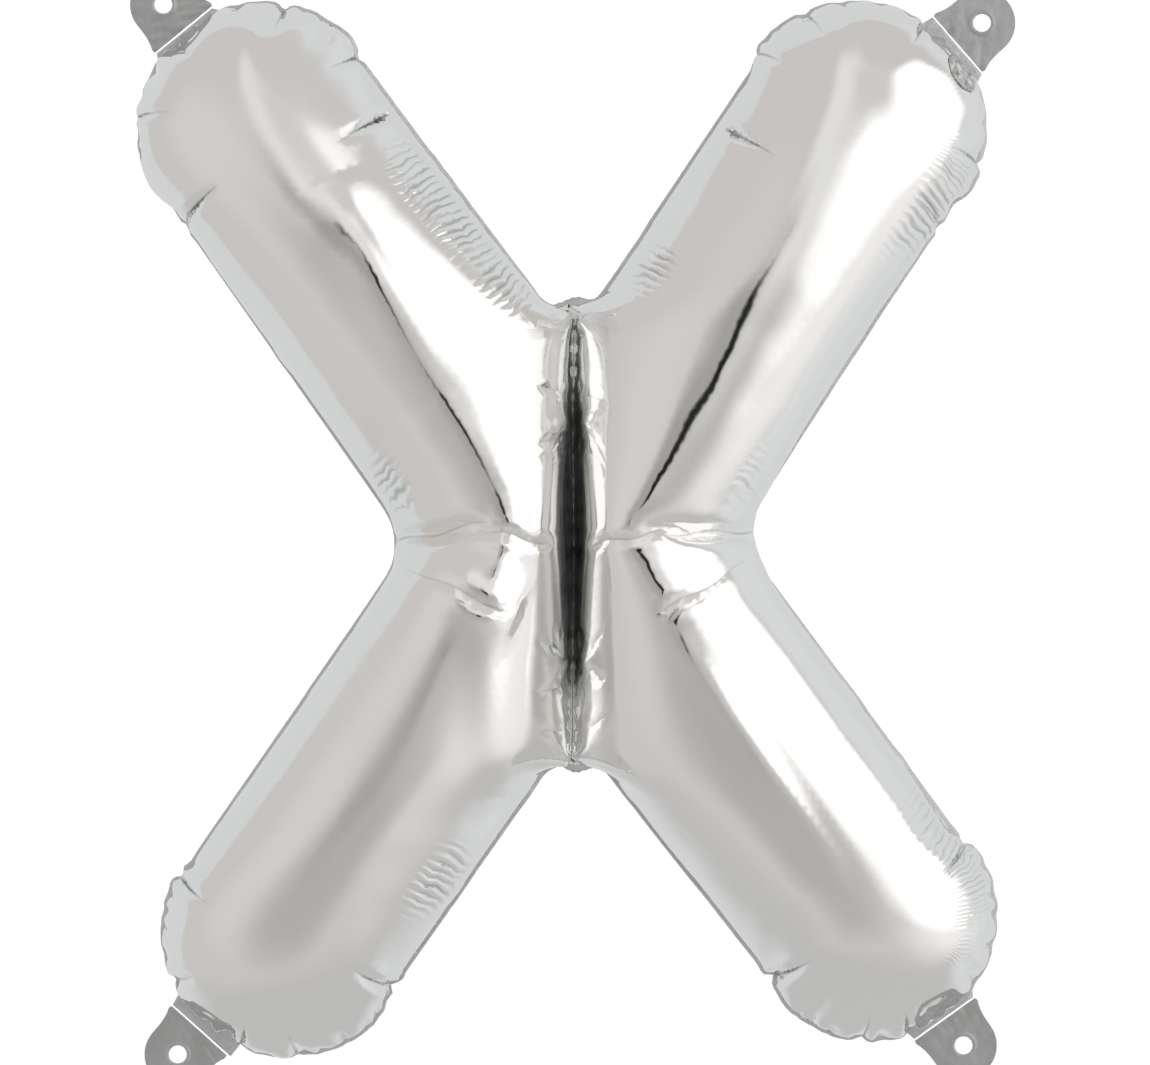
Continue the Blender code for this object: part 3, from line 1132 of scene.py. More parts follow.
@dataclass(frozen=True)
class Crease:
    """A sharp fold line in the film, from one (x, z) place to another, from the letter's centre."""

    start: Vector
    end: Vector
    depth: float  # at the start, below 0 for a ridge
    width: float
    tail: float = 0.8  # how fast the crease dies out towards its end
    lip: float = 0.35  # how high the film swells on both sides, as a share of the depth
    face: Face | None = None  # the sheet that has it, or None where it runs over the weld
    shade: float = 1.0  # how dark its painted shade line is
    rise: float = SOFT_START  # the way over which it deepens at its start
    sway: float = 0.0  # how far it wanders to either side of its straight way

    @classmethod
    def seen(cls, start: Pixel, end: Pixel, *sizes: float, **more: float) -> "Crease":
        """A crease of the front between two pixels of the photograph, with its other sizes."""
        ends = (pixel_spot(pixel, Vector((0, 0, 0))) for pixel in (start, end))
        return cls(*ends, *sizes, face=Face.FRONT, **more)

    def measure(self, points: np.ndarray, centre: Vector) -> tuple[np.ndarray, np.ndarray]:
        """Where points lie beside the crease.

        Args:
            points: the film's points.
            centre: the letter's centre.

        Returns:
            The distances across it, to the left positive, and its depth beside each point.
        """
        way = np.array(self.end - self.start)
        length = float(np.hypot(*way))
        rel = points[:, [0, 2]] - np.array((centre.x + self.start.x, centre.z + self.start.y))
        share = rel @ way / (length * length)
        across = (rel[:, 1] * way[0] - rel[:, 0] * way[1]) / length
        across -= self.sway * np.sin(3 * np.pi * np.clip(share, 0.0, 1.0))
        begin = np.clip(1.0 + (share * length - self.rise + SOFT_START) / self.rise, 0.0, 1.0)
        fade = np.clip(1.0 - share, 0.0, 1.0) ** self.tail * begin
        if self.face is not None:
            fade *= np.clip(points[:, 1] * self.face.value / SEAM_BLEND, 0.0, 1.0)
        return across, self.depth * fade

    def press(self, points: np.ndarray, centre: Vector) -> np.ndarray:
        """How far the crease moves each point along the film's normal.

        Args:
            points: the film's points.
            centre: the letter's centre.

        Returns:
            The distances, outwards where positive.
        """
        across, depth = self.measure(points, centre)
        valley = bell(across, self.width)
        swell = bell(np.abs(across) - LIP_PLACE * self.width, LIP_WIDTH * self.width)
        return depth * (self.lip * swell - valley)


@dataclass(frozen=True)
class Patch:
    """A round stretch of film, by the pixel where the photograph shows it."""

    spot: Pixel
    reach: float
    edge: float  # the smaller, the further in it starts to fade
    puckers: float = 0.0  # their strength
    rounds: int = 0  # of smoothing
    haze: float = 0.0  # added to the film's roughness

    def share(self, points: np.ndarray, centre: Vector, mirror: int = 1) -> np.ndarray:
        """How far points lie in the patch.

        Args:
            points: rows of x, y and z.
            centre: the letter's centre.
            mirror: -1 where the patch is mirrored to the other side of the letter.

        Returns:
            1 in its middle to 0 outside.
        """
        spot = pixel_spot(self.spot, centre)
        x = centre.x + (spot.x - centre.x) * mirror
        far = np.hypot(points[:, 0] - x, points[:, 2] - spot.y) / self.reach
        return np.clip(self.edge * (1.0 - far), 0.0, 1.0)


END_TURN = math.radians(88.0)  # creases behind an arm's shoulders run nearly square to the arm


def end_creases() -> list[Crease]:
    """The creases that run inwards from the folds round each end.

    Returns:
        The creases.
    """
    creases = []
    for end in ROUND_ENDS.values():
        for degrees, depth in end.folds:
            turn = math.radians(degrees)
            axis = math.atan2(end.z, end.x)
            off = math.remainder(turn - axis, 2 * math.pi)
            inner = axis + max(-END_TURN, min(END_TURN, off))
            out = Vector((math.cos(turn), math.sin(turn)))
            rim = end.hub() + out * (end.half + end.swell - depth) * MM
            reach = (7.0 + 3.5 * depth) * MM
            way = Vector((math.cos(inner), math.sin(inner)))
            creases.append(Crease(rim, rim - way * reach, depth * 0.75 * MM, 1.4 * MM, 1.2))
    return creases


# Folds at the waist and by the valve, from pixel to pixel: depth, width, tail, painted shade and sway.
FOLDS = [
    Crease.seen(start, end, depth * MM, width * MM, tail, shade=shade, sway=sway * MM)
    for start, end, depth, width, tail, shade, sway in (
        ((392, 543), (490, 523), 1.0, 2.2, 0.2, 0.4, 0.7),
        ((545, 543), (476, 527), 0.9, 1.5, 0.3, 0.4, 0.7),
        ((506, 607), (402, 562), 0.7, 1.6, 0.6, 0.5, 0.7),
        ((503, 614), (452, 594), 0.25, 1.2, 0.6, 0.5, 0.0),
        ((754, 531), (662, 534), 1.0, 2.2, 0.2, 0.4, 0.7),
        ((595, 544), (668, 529), 0.9, 1.5, 0.3, 0.4, 0.7),
        ((662, 607), (748, 558), 0.7, 1.6, 0.6, 0.5, 0.7),
        ((670, 614), (716, 586), 0.25, 1.2, 0.6, 0.5, 0.0),
        ((962, 44), (986, 86), 0.8, 0.9, 0.2, 1.0, 0.0),
    )
]
# Ridges, and where the groove's walls bulge towards each other: height, width, tail and rise.
RIDGES = [
    Crease.seen(start, end, -height * MM, width * MM, tail, lip=0.0, rise=rise * MM)
    for start, end, height, width, tail, rise in (
        ((512, 616), (398, 564), 1.6, 9.0, 0.3, 3),
        ((507, 545), (499, 612), 1.2, 4.5, 0.1, 3),
        ((440, 392), (348, 190), 2.0, 9.0, 0.3, 40),
        ((496, 612), (502, 790), 1.5, 7.0, 0.3, 3),
        ((563, 426), (573, 426), 1.3, 3.6, 0.1, 3),
        ((563, 660), (573, 660), 1.3, 3.6, 0.1, 3),
        ((591, 426), (581, 426), 1.3, 3.6, 0.1, 3),
        ((591, 660), (581, 660), 1.3, 3.6, 0.1, 3),
    )
]
# Long, shallow flutes that run along the arms: height and width.
FLUTES = [
    Crease.seen(start, end, -height * MM, width * MM, 0.7, 0.3, rise=35 * MM)
    for start, end, height, width in (
        ((420, 760), (318, 935), 0.22, 3.4),
        ((452, 735), (352, 900), 0.20, 2.6),
        ((672, 632), (848, 905), 0.50, 3.0),
        ((694, 650), (838, 868), 0.45, 2.2),
        ((512, 500), (282, 170), 0.24, 4.0),
        ((640, 500), (742, 190), 0.12, 3.4),
    )
]
# Crinkles down the groove's walls: side, height in the photograph, fall and depth.
CRINKLES = [
    Crease.seen((563 + 17 * side, y), (577 + 4 * side, y + fall), depth * MM, 1.0 * MM, 0.4, shade=0.5)
    for side, y, fall, depth in (
        (-1, 331, 5, 0.3), (1, 336, 3, 0.3), (-1, 391, 6, 0.4), (1, 386, 8, 0.3), (-1, 444, -10, 0.5),
        (1, 450, -12, 0.5), (-1, 457, -8, 0.3), (-1, 641, 14, 0.4), (1, 634, 16, 0.5), (1, 664, 8, 0.4),
        (-1, 688, -6, 0.5), (1, 693, -8, 0.3), (-1, 727, 4, 0.3), (1, 738, 5, 0.3),
    )
]
PUCKERED = [
    Patch(spot, reach * MM, 1.4, puckers=strength)
    for spot, reach, strength in (
        ((440, 220), 34, 1.0), ((500, 290), 16, 0.9), ((405, 480), 14, 0.8), ((660, 280), 14, 0.7),
        ((720, 470), 18, 0.8), ((930, 220), 28, 0.8), ((435, 870), 16, 0.9), ((940, 860), 34, 0.6),
        ((470, 610), 10, 0.8), ((690, 600), 10, 0.8),
    )
]
# Where the film lies smoother than elsewhere, and mirrors with more haze.
CALM = [
    Patch((300, 135), 34 * MM, 1.6, rounds=110, haze=0.10),
    Patch((418, 715), 38 * MM, 1.6, rounds=110, haze=0.17),
    Patch((728, 715), 26 * MM, 1.6, rounds=60, haze=0.04),
]


@dataclass(frozen=True)
class Groove:
    """Painted glow and painted shade in the groove between the lobes, by the way aside and up from its
    middle.
    """

    half: float = 5.5 * MM
    end: float = 74 * MM
    closing: float = 4 * MM  # over which it ends
    walls: float = 4 * MM  # how far aside its walls are fully lit
    length: float = 70 * MM
    # painted shade along the groove's bottom:
    dark: float = 0.80
    dark_half: float = 2.5 * MM
    dark_end: float = 58 * MM
    dark_fade: float = 18 * MM
    dark_least: float = 0.25

    def opening(self, z: np.ndarray) -> np.ndarray:
        """1 along the groove, to 0 at its ends."""
        return 1.0 - ramp(z, self.end - self.closing, self.closing)

    def light(self, x: np.ndarray, z: np.ndarray) -> np.ndarray:
        """How strongly its walls glow, as painted light for the light they throw on each other."""
        wall = np.clip(1.8 - x / self.half, 0.0, 1.0) * (0.2 + ramp(x, 0.0, self.walls))
        return wall * self.opening(z) * (0.7 + 1.6 * (z / self.length) ** 2)

    def bottom(self, x: np.ndarray, z: np.ndarray) -> np.ndarray:
        """How dark its bottom is painted, as shade."""
        fade = np.clip((self.dark_end - z) / self.dark_fade, self.dark_least, 1.0)
        return self.dark * bell(x, self.dark_half) * fade * self.opening(z)


@dataclass
class Envelope:
    """The inflated letter: a front and a back sheet of mirror film."""

    place: Placement
    finish: MirrorFoil = MirrorFoil()
    spacing: float = 4.0 * MM  # of the cloth's points
    lift: float = 0.6 * MM
    easing: int = 28  # rounds of smoothing after the inflation
    faint_puckers: float = 0.015  # their strength outside the patches
    haze_edge: float = 2.2
    groove: Groove = Groove()
    points: np.ndarray = field(init=False)  # of the finer film
    faces: np.ndarray = field(init=False)
    front: np.ndarray = field(init=False)  # whether each face belongs to the front sheet
    seam: np.ndarray = field(init=False)

    def blow_up(self, air: Inflation, creases: list[Crease]) -> None:
        """Cuts and inflates the film, makes it twice as fine, and presses the creases into it.

        Args:
            air: the way to inflate it.
            creases: the creases.
        """
        sheets = FlatSheets.cut(LobePattern(self.spacing), self.lift)
        inflated = air.run(sheets)
        size = (inflated.max(axis=0) - inflated.min(axis=0)) / MM
        log.info("inflated %d points to %s mm", len(inflated), np.round(size, 1))
        places = inflated + np.array(self.place.centre)
        body = new_piece("film", places, sheets.faces)
        seam = body.data.attributes.new("seam_way", "FLOAT_VECTOR", "POINT")
        seam.data.foreach_set("vector", np.array(sheets.seam).ravel())
        side = body.data.attributes.new("front", "INT", "FACE")
        side.data.foreach_set("value", np.array(sheets.front, np.int32))
        finer = body.modifiers.new("finer", "SUBSURF")
        finer.levels = finer.render_levels = 1
        loose = looseness(np.array(sheets.seam)[:, 1], inflated)
        self.ease(body, loose, self.easing)
        for patch in CALM:
            self.ease(body, loose * patch.share(places, self.place.centre), patch.rounds)
        apply_modifiers(body)
        mesh = body.data
        points, normals = fetch(mesh.vertices, "co", 3), fetch(mesh.vertex_normals, "vector", 3)
        self.seam = fetch(mesh.attributes["seam_way"].data, "vector", 3)[:, :2]
        self.faces = fetch(mesh.loops, "vertex_index", 1, np.int32).reshape(-1, 4)
        self.front = fetch(mesh.attributes["front"].data, "value", 1, np.int32).ravel() > 0
        discard(body)
        moves = sum(crease.press(points, self.place.centre) for crease in creases)
        self.points = points + normals * moves[:, None]

    def ease(self, body: bpy.types.Object, weights: np.ndarray, rounds: int) -> None:
        """Adds a smoothing modifier.

        Args:
            body: the film.
            weights: how much each point takes part, 0 to 1.
            rounds: how many rounds it smooths.
        """
        group = body.vertex_groups.new(name="eased")
        for number in np.flatnonzero(weights).tolist():
            group.add([number], float(weights[number]), "REPLACE")
        ease = body.modifiers.new("ease", "SMOOTH")
        ease.factor, ease.iterations, ease.vertex_group = 0.5, rounds, group.name

    def rim(self) -> np.ndarray:
        """The points along the edge weld, in order round the letter.

        Returns:
            Rows of x, y and z.
        """
        edges = np.stack((self.faces, np.roll(self.faces, -1, axis=1)), axis=2).reshape(-1, 2)
        edges = np.sort(edges, axis=1)
        of_front = np.repeat(self.front, 4)
        known, index = np.unique(edges, axis=0, return_inverse=True)
        fronts = np.bincount(index.ravel(), weights=of_front)
        backs = np.bincount(index.ravel(), weights=~of_front)
        beside: dict[int, list[int]] = {}
        for a, b in known[(fronts == 1) & (backs == 1)].tolist():
            beside.setdefault(a, []).append(b)
            beside.setdefault(b, []).append(a)
        walk, last = [next(iter(beside))], -1
        while True:
            ahead = next(k for k in beside[walk[-1]] if k != last)
            if ahead == walk[0]:
                return self.points[walk]
            last = walk[-1]
            walk.append(ahead)

    def film(self, face: Face, creases: list[Crease]) -> bpy.types.Object:
        """One sheet as a finished piece.

        Args:
            face: the sheet.
            creases: the creases, for their painted shade lines and bumps.

        Returns:
            The piece.
        """
        used, index = np.unique(self.faces[self.front == (face is Face.FRONT)], return_inverse=True)
        faces, points = index.reshape(-1, 4), self.points[used]
        piece = new_piece(f"{face.name.lower()}_film", points, faces)
        mesh = piece.data
        corners = fetch(mesh.loops, "vertex_index", 1, np.int32).ravel()
        mesh.uv_layers.new(name="seam").uv.foreach_set("vector", self.seam[used][corners].ravel())
        self.mark(mesh, points, face)
        lines = self.fold_lines(points, faces, [c for c in creases if c.face in (None, face)])
        mesh.uv_layers.new(name="fold").uv.foreach_set("vector", lines.ravel())
        mesh.shade_smooth()
        mesh.materials.append(self.finish.make(piece.name))
        log.info("%s: %d faces", piece.name, len(mesh.polygons))
        return piece

    def mark(self, mesh: bpy.types.Mesh, points: np.ndarray, face: Face) -> None:
        """Stores each point's puckers and haze, and its painted glow and painted shade in the groove.

        Args:
            mesh: the film's mesh.
            points: its points.
            face: the sheet. The back has the same puckers, seen in a mirror.
        """
        strength, centre = np.full(len(points), self.faint_puckers), self.place.centre
        for patch in PUCKERED:
            strength = np.maximum(strength, patch.puckers * patch.share(points, centre, -face.value))
        haze = np.zeros(len(points))
        for patch in CALM if face is Face.FRONT else ():
            haze += patch.haze * replace(patch, edge=self.haze_edge).share(points, centre)
        x, _, z = np.abs(points - np.array(centre)).T
        store(mesh, "pucker", strength)
        # painted glow on the groove's walls
        store(mesh, "groove", self.groove.light(x, z))
        store(mesh, "haze", haze)
        # painted shade at the groove's bottom
        store(mesh, "bottom", self.groove.bottom(x, z))

    def fold_lines(self, points: np.ndarray, faces: np.ndarray, creases: list[Crease]) -> np.ndarray:
        """How each face corner lies beside the crease nearest to its face, for its painted shade line and
        bump.

        Args:
            points: the film's points.
            faces: its faces' points.
            creases: the creases.

        Returns:
            Rows of (way across the crease, its depth).
        """
        best = np.full(len(faces), 1e-6)
        across, depth = np.ones(faces.shape), np.zeros(faces.shape)
        for crease in creases:
            side, deep = crease.measure(points, self.place.centre)
            side, deep = side[faces], deep[faces] * crease.shade
            near = np.mean(deep, axis=1) * bell(np.mean(side, axis=1), FOLD_REACH)
            chosen = near > best
            best[chosen], across[chosen], depth[chosen] = near[chosen], side[chosen], deep[chosen]
        return np.column_stack((across.ravel(), depth.ravel()))


WELD_EASE = (5 * MM, 8 * MM)  # in from a weld: where easing sets in, and its run to full strength
WAIST_REACH = 18 * MM  # of the waist folds, above and below the letter's middle
WAIST_ASIDE = (16 * MM, 6 * MM)  # from the letter's middle: where they begin, and their run
WAIST_SHARE = 0.4  # how much less they are eased


def looseness(inward: np.ndarray, inflated: np.ndarray) -> np.ndarray:
    """How much each inflated point may be eased: less by the welds and in the waist folds.

    Args:
        inward: each point's way in from its weld.
        inflated: the points, from the letter's centre.

    Returns:
        The shares, 0 to 1.
    """
    waist = bell(inflated[:, 2], WAIST_REACH) * ramp(np.abs(inflated[:, 0]), *WAIST_ASIDE)
    return ramp(inward, *WELD_EASE) * (1.0 - WAIST_SHARE * waist)


@dataclass
class EdgeLip:
    """What shows of the edge weld outside the tubes: a narrow lip that leans back a little."""

    envelope: Envelope
    finish: CrinkledFoil = CrinkledFoil((0.56, 0.56, 0.57), (0.2, 0.4), 0.12 * MM, metallic=0.6)
    width: float = 0.9 * MM
    crotch_width: float = 3.6 * MM
    crotch_reach: float = 5 * MM  # aside from the letter's middle
    crotch_from: float = 60 * MM  # above and below its centre
    crotch_ruffle: float = 2.0  # how much more it is ruffled there
    inside: float = 0.8 * MM
    lean: float = 0.35  # metres back for each metre out
    curl: float = 1.5  # 1 for a straight lean, more for one that sets in towards the edge
    ruffle: float = 0.3 * MM
    ruffle_rate: float = 0.06  # waves for each point of the rim
    thickness: float = 0.16 * MM
    root_half: float = 12.2 * MM  # of a tab's root
    root_gap: float = 0.35 * MM
    root_ruffle: float = 0.3  # the share of the ruffle that is left there
    shares: tuple[float, ...] = (-1.0, 0.0, 0.35, 0.7, 1.0)  # of the width, below 0 inside the rim

    def waves(self, count: int) -> np.ndarray:
        """Soft, uneven waves.

        Args:
            count: how many points the rim has.

        Returns:
            The height at each point.
        """
        wave = np.random.default_rng(4).normal(size=count)
        wave = np.real(np.fft.ifft(np.fft.fft(wave) * bell(np.fft.fftfreq(count), self.ruffle_rate)))
        return wave * (self.ruffle / np.abs(wave).max())

    def make(self) -> bpy.types.Object:
        """Builds the lip along both lobes' rims.

        Returns:
            The piece.
        """
        rim, centre = self.envelope.rim(), np.array(self.envelope.place.centre)
        count, rel = len(rim), rim - centre
        ahead = np.roll(rim, -2, axis=0) - np.roll(rim, 2, axis=0)
        out = np.column_stack((ahead[:, 2], np.zeros(count), -ahead[:, 0]))
        out /= np.linalg.norm(out, axis=1)[:, None] + TINY
        if np.sum(out * rel) < 0:
            out = -out
        crotch = bell(rel[:, 0], self.crotch_reach) * (np.abs(rel[:, 2]) > self.crotch_from)
        width = self.width + (self.crotch_width - self.width) * crotch
        wave = self.waves(count) * (1.0 + self.crotch_ruffle * crotch)
        lean = np.full(count, self.lean)
        for tab in self.envelope.place.tabs.values():
            from_root = rel[:, [0, 2]] - np.array(tab.root)
            along = np.abs(from_root @ np.array((-tab.out.y, tab.out.x)))
            short = -(from_root @ np.array(tab.out)) - self.root_gap
            facing = out[:, [0, 2]] @ np.array(tab.out)
            met = (along < self.root_half) & (facing > 0.5) & (short > 0)
            width[met] = short[met] / facing[met]
            lean[met] = 0.0
            wave[met] *= self.root_ruffle
        rows = []
        for share in self.shares:
            reach = share * (width if share > 0 else np.full(count, self.inside))
            back = max(0.0, share) ** self.curl * width * lean + wave * max(0.0, share)
            rows.append(rim + out * reach[:, None] + back[:, None] * np.array((0.0, 1.0, 0.0)))
        one = np.arange(count)
        after = (one + 1) % count
        faces = [np.column_stack((one, after, after + count, one + count)) + level * count
                 for level in range(len(rows) - 1)]
        piece = new_piece("edge_lip", np.concatenate(rows), np.concatenate(faces))
        thicken(piece, self.thickness, 0.0)
        complete(piece, self.finish)
        return piece


@dataclass
class HangingTab:
    """A tab of welded film with a round hole, which folds along its root."""

    corner: Corner
    place: Placement
    finish: CrinkledFoil = CrinkledFoil((0.42, 0.42, 0.42), (0.26, 0.40), 0.07 * MM, metallic=0.55)
    half: float = 11.0 * MM
    hole_out: float = 10.8 * MM
    hole_radius: float = 3.0 * MM
    ring: float = 1.5 * MM  # the pressed ring round the hole
    ring_height: float = 0.35 * MM
    loops: tuple[float, ...] = (0.495 * MM, 0.99 * MM, 1.5 * MM, 2.4 * MM, 4.2 * MM, 6.0 * MM, 8.0 * MM)
    flare: float = 2.0 * MM
    fold_gap: float = 0.3 * MM
    shoulder: float = math.radians(50)  # below the horizontal, where the side meets the root
    thickness: float = 0.3 * MM
    creases: int = 7
    crease_pitch: tuple[float, float] = (3.0 * MM, 8.0 * MM)
    crease_height: float = 0.25 * MM
    root_crease: float = 1.3 * MM  # how much more it is at the root
    creased: float = 9.0 * MM  # how far from the root the film is creased more
    seed: int = 0

    def make(self) -> bpy.types.Object:
        """Models the tab flat at the origin, its root along x, then moves it to its corner.

        Returns:
            The piece.
        """
        only(None)
        centre, radius = (0, self.hole_out, 0), self.hole_radius
        bpy.ops.mesh.primitive_circle_add(vertices=48, radius=radius, location=centre)
        piece = bpy.context.object
        piece.name = piece.data.name = f"{self.corner.tab_name}_film"
        bpy.ops.object.transform_apply(location=True, rotation=True, scale=True)
        bpy.ops.object.mode_set(mode="EDIT")
        bpy.ops.mesh.select_all(action="SELECT")
        for loop in self.loops:
            grown = self.hole_radius + loop
            bpy.ops.mesh.extrude_edges_move()
            bpy.ops.transform.resize(value=(grown / radius,) * 3, center_override=centre)
            radius = grown
        bpy.ops.object.mode_set(mode="OBJECT")
        self.square_root(piece.data)
        only(piece)
        bpy.ops.object.mode_set(mode="EDIT")
        bpy.ops.mesh.select_all(action="SELECT")
        bpy.ops.mesh.subdivide(number_cuts=2, smoothness=0.0)
        bpy.ops.object.mode_set(mode="OBJECT")
        self.crumple(piece.data)
        thicken(piece, self.thickness, 0.0)
        tab = self.place.tabs[self.corner]
        out, across = Vector((tab.out.x, 0, tab.out.y)), Vector((tab.out.y, 0, -tab.out.x))
        turned = Matrix((across, out, across.cross(out))).transposed()
        root = Vector((tab.root.x, 0, tab.root.y)) + self.place.centre
        piece.data.transform(Matrix.Translation(root) @ turned.to_4x4())
        complete(piece, self.finish)
        piece.data.set_sharp_from_angle(angle=math.radians(60))
        return piece

    def square_root(self, mesh: bpy.types.Mesh) -> None:
        """Pulls the lower half of the outer rings down to the straight root.

        Args:
            mesh: the rings' mesh, with its middle at the hole.
        """
        inner = self.hole_radius + self.ring
        for vert in mesh.vertices:
            x, y = vert.co.x, vert.co.y - self.hole_out
            reach = math.hypot(x, y)
            share = (reach - inner) / (self.half - inner)
            if share <= 0 or y >= 0:
                continue
            turn = math.atan2(-y, abs(x))  # 0 at the side, a right angle at the root
            edge = min(1.0, turn / self.shoulder)
            aim_x = self.half + self.flare * edge**3
            aim_y = self.fold_gap + (self.hole_out - self.fold_gap) * (1 - edge)
            if turn >= self.shoulder:
                aim_x *= 1 - (turn - self.shoulder) / (math.pi / 2 - self.shoulder)
            aim_x = math.copysign(aim_x, x) if abs(x) > 1e-9 else 0.0
            ring_x, ring_y = x / reach * inner, y / reach * inner + self.hole_out
            vert.co.x = ring_x + (aim_x - ring_x) * share
            vert.co.y = ring_y + (aim_y - ring_y) * share

    def crumple(self, mesh: bpy.types.Mesh) -> None:
        """Raises the pressed ring and creases the film near the root.

        Args:
            mesh: the tab's mesh, still flat.
        """
        points = fetch(mesh.vertices, "co", 3)
        reach = np.hypot(points[:, 0], points[:, 1] - self.hole_out)
        ring = bell(reach - self.hole_radius - self.ring * 0.45, 0.45 * MM)
        dice = np.random.default_rng(20 + self.seed)
        wave = np.zeros(len(points))
        for _ in range(self.creases):
            angle, pitch = dice.uniform(0, math.pi), dice.uniform(*self.crease_pitch)
            phase = dice.uniform(0, 2 * math.pi)
            along = (points[:, 0] * math.cos(angle) + points[:, 1] * math.sin(angle)) / pitch
            wave += np.abs(np.sin(along * math.pi + phase)) * dice.uniform(0.3, 1.0)
        wave = (wave - wave.mean()) / self.creases
        near_root = 1.0 - ramp(points[:, 1], 0.0, self.creased)
        height = self.crease_height + self.root_crease * near_root
        points[:, 2] += ring * self.ring_height + wave * height
        mesh.vertices.foreach_set("co", points.ravel())


@dataclass
class FillingValve:
    """The oval mouth of the filling valve, wrinkled film that lies on the front sheet."""

    place: Placement
    film: bpy.types.Object
    finish: ValveFilm = ValveFilm()
    shift: Vector = field(default_factory=lambda: Vector((0.4, 0, -2.0)) * MM)
    half_width: float = 5.4 * MM
    half_length: float = 6.8 * MM
    lift: float = 0.35 * MM
    rim_height: float = 0.25 * MM
    wrinkle: float = 0.7 * MM
    wrinkles: int = 6
    edge_lift: float = 0.05 * MM
    above: float = 20 * MM  # from where the film under it is looked for
    thickness: float = 0.12 * MM
    rings: int = 14
    spokes: int = 64

    def make(self) -> bpy.types.Object:
        """Builds the oval on the film, where the model has it.

        Returns:
            The piece.
        """
        low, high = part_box("filling_valve")
        middle = (low + high) / 2 + self.shift
        hub = self.place.tabs[Corner.UPPER_RIGHT]
        outwards = Vector((hub.out.x, -0.6, hub.out.y)).normalized()
        long_way = Vector((-hub.out.y, 0, hub.out.x))
        short_way = outwards.cross(long_way).normalized()
        tree = BVHTree.FromObject(self.film, bpy.context.evaluated_depsgraph_get())
        dice = np.random.default_rng(7)
        folds = [
            (dice.uniform(0, math.pi), dice.uniform(1.6, 4.0) * MM, dice.uniform(0, 6))
            for _ in range(self.wrinkles)
        ]
        points = []
        for number in range(1 + self.rings * self.spokes):
            ring, spoke = divmod(number - 1, self.spokes) if number else (-1, 0)
            share, turn = (ring + 1) / self.rings, 2 * math.pi * spoke / self.spokes
            wobble = 1 + 0.03 * math.sin(3 * turn + 1) + 0.015 * math.sin(7 * turn)
            across = self.half_width * share * wobble * math.cos(turn)
            along = self.half_length * share * wobble * math.sin(turn)
            aim = middle + short_way * across + long_way * along + outwards * self.above
            hit, normal, _, _ = tree.ray_cast(aim, -outwards)
            wave = sum(
                abs(math.sin((across * math.cos(a) + along * math.sin(a)) / pitch * math.pi + phase))
                for a, pitch, phase in folds
            )
            rim = math.exp(-(((share - 0.9) / 0.08) ** 2)) * self.rim_height
            height = self.lift + rim + (wave / len(folds) - 0.5) * self.wrinkle * (1 - share**4)
            points.append(hit + normal * (height * (share < 1.0) + self.edge_lift))
        faces = []
        for k in range(self.spokes):
            one, after = 1 + k, 1 + (k + 1) % self.spokes
            faces.append((0, one, after))
            for start in range(0, (self.rings - 1) * self.spokes, self.spokes):
                outer = start + self.spokes
                faces.append((one + start, one + outer, after + outer, after + start))
        piece = new_piece("valve_mouth", points, faces)
        thicken(piece, self.thickness, -1.0)
        complete(piece, self.finish)
        return piece


# The studio.


class Tint(Enum):
    """Tones of the studio's walls and lamps."""

    WARM = (1.0, 0.972, 0.948)
    NEUTRAL = (1.0, 0.995, 0.985)
    COOL = (0.965, 0.985, 1.0)


@dataclass(frozen=True)
class Panel:
    """A lamp, wall or gap round the letter that its foil mirrors, with soft, rounded edges."""

    azimuth: float  # degrees to the right of the camera
    elevation: float
    half_width: float  # degrees
    half_height: float
    tone: float  # the foil's tone where it mirrors the panel, 0 to 255
    tint: Tint
    soft: float = 0.3  # the edge's softness, as a share of the half sizes
    squareness: float = 2.0  # 2 for an oval, more for a rounded box

    def light(self) -> Colour:
        """The light that gives the foil the panel's tone."""
        light = ((self.tone / 255 + 0.055) / 1.055) ** 2.4 / FOIL_SHARE
        return tuple(light * part for part in self.tint.value)


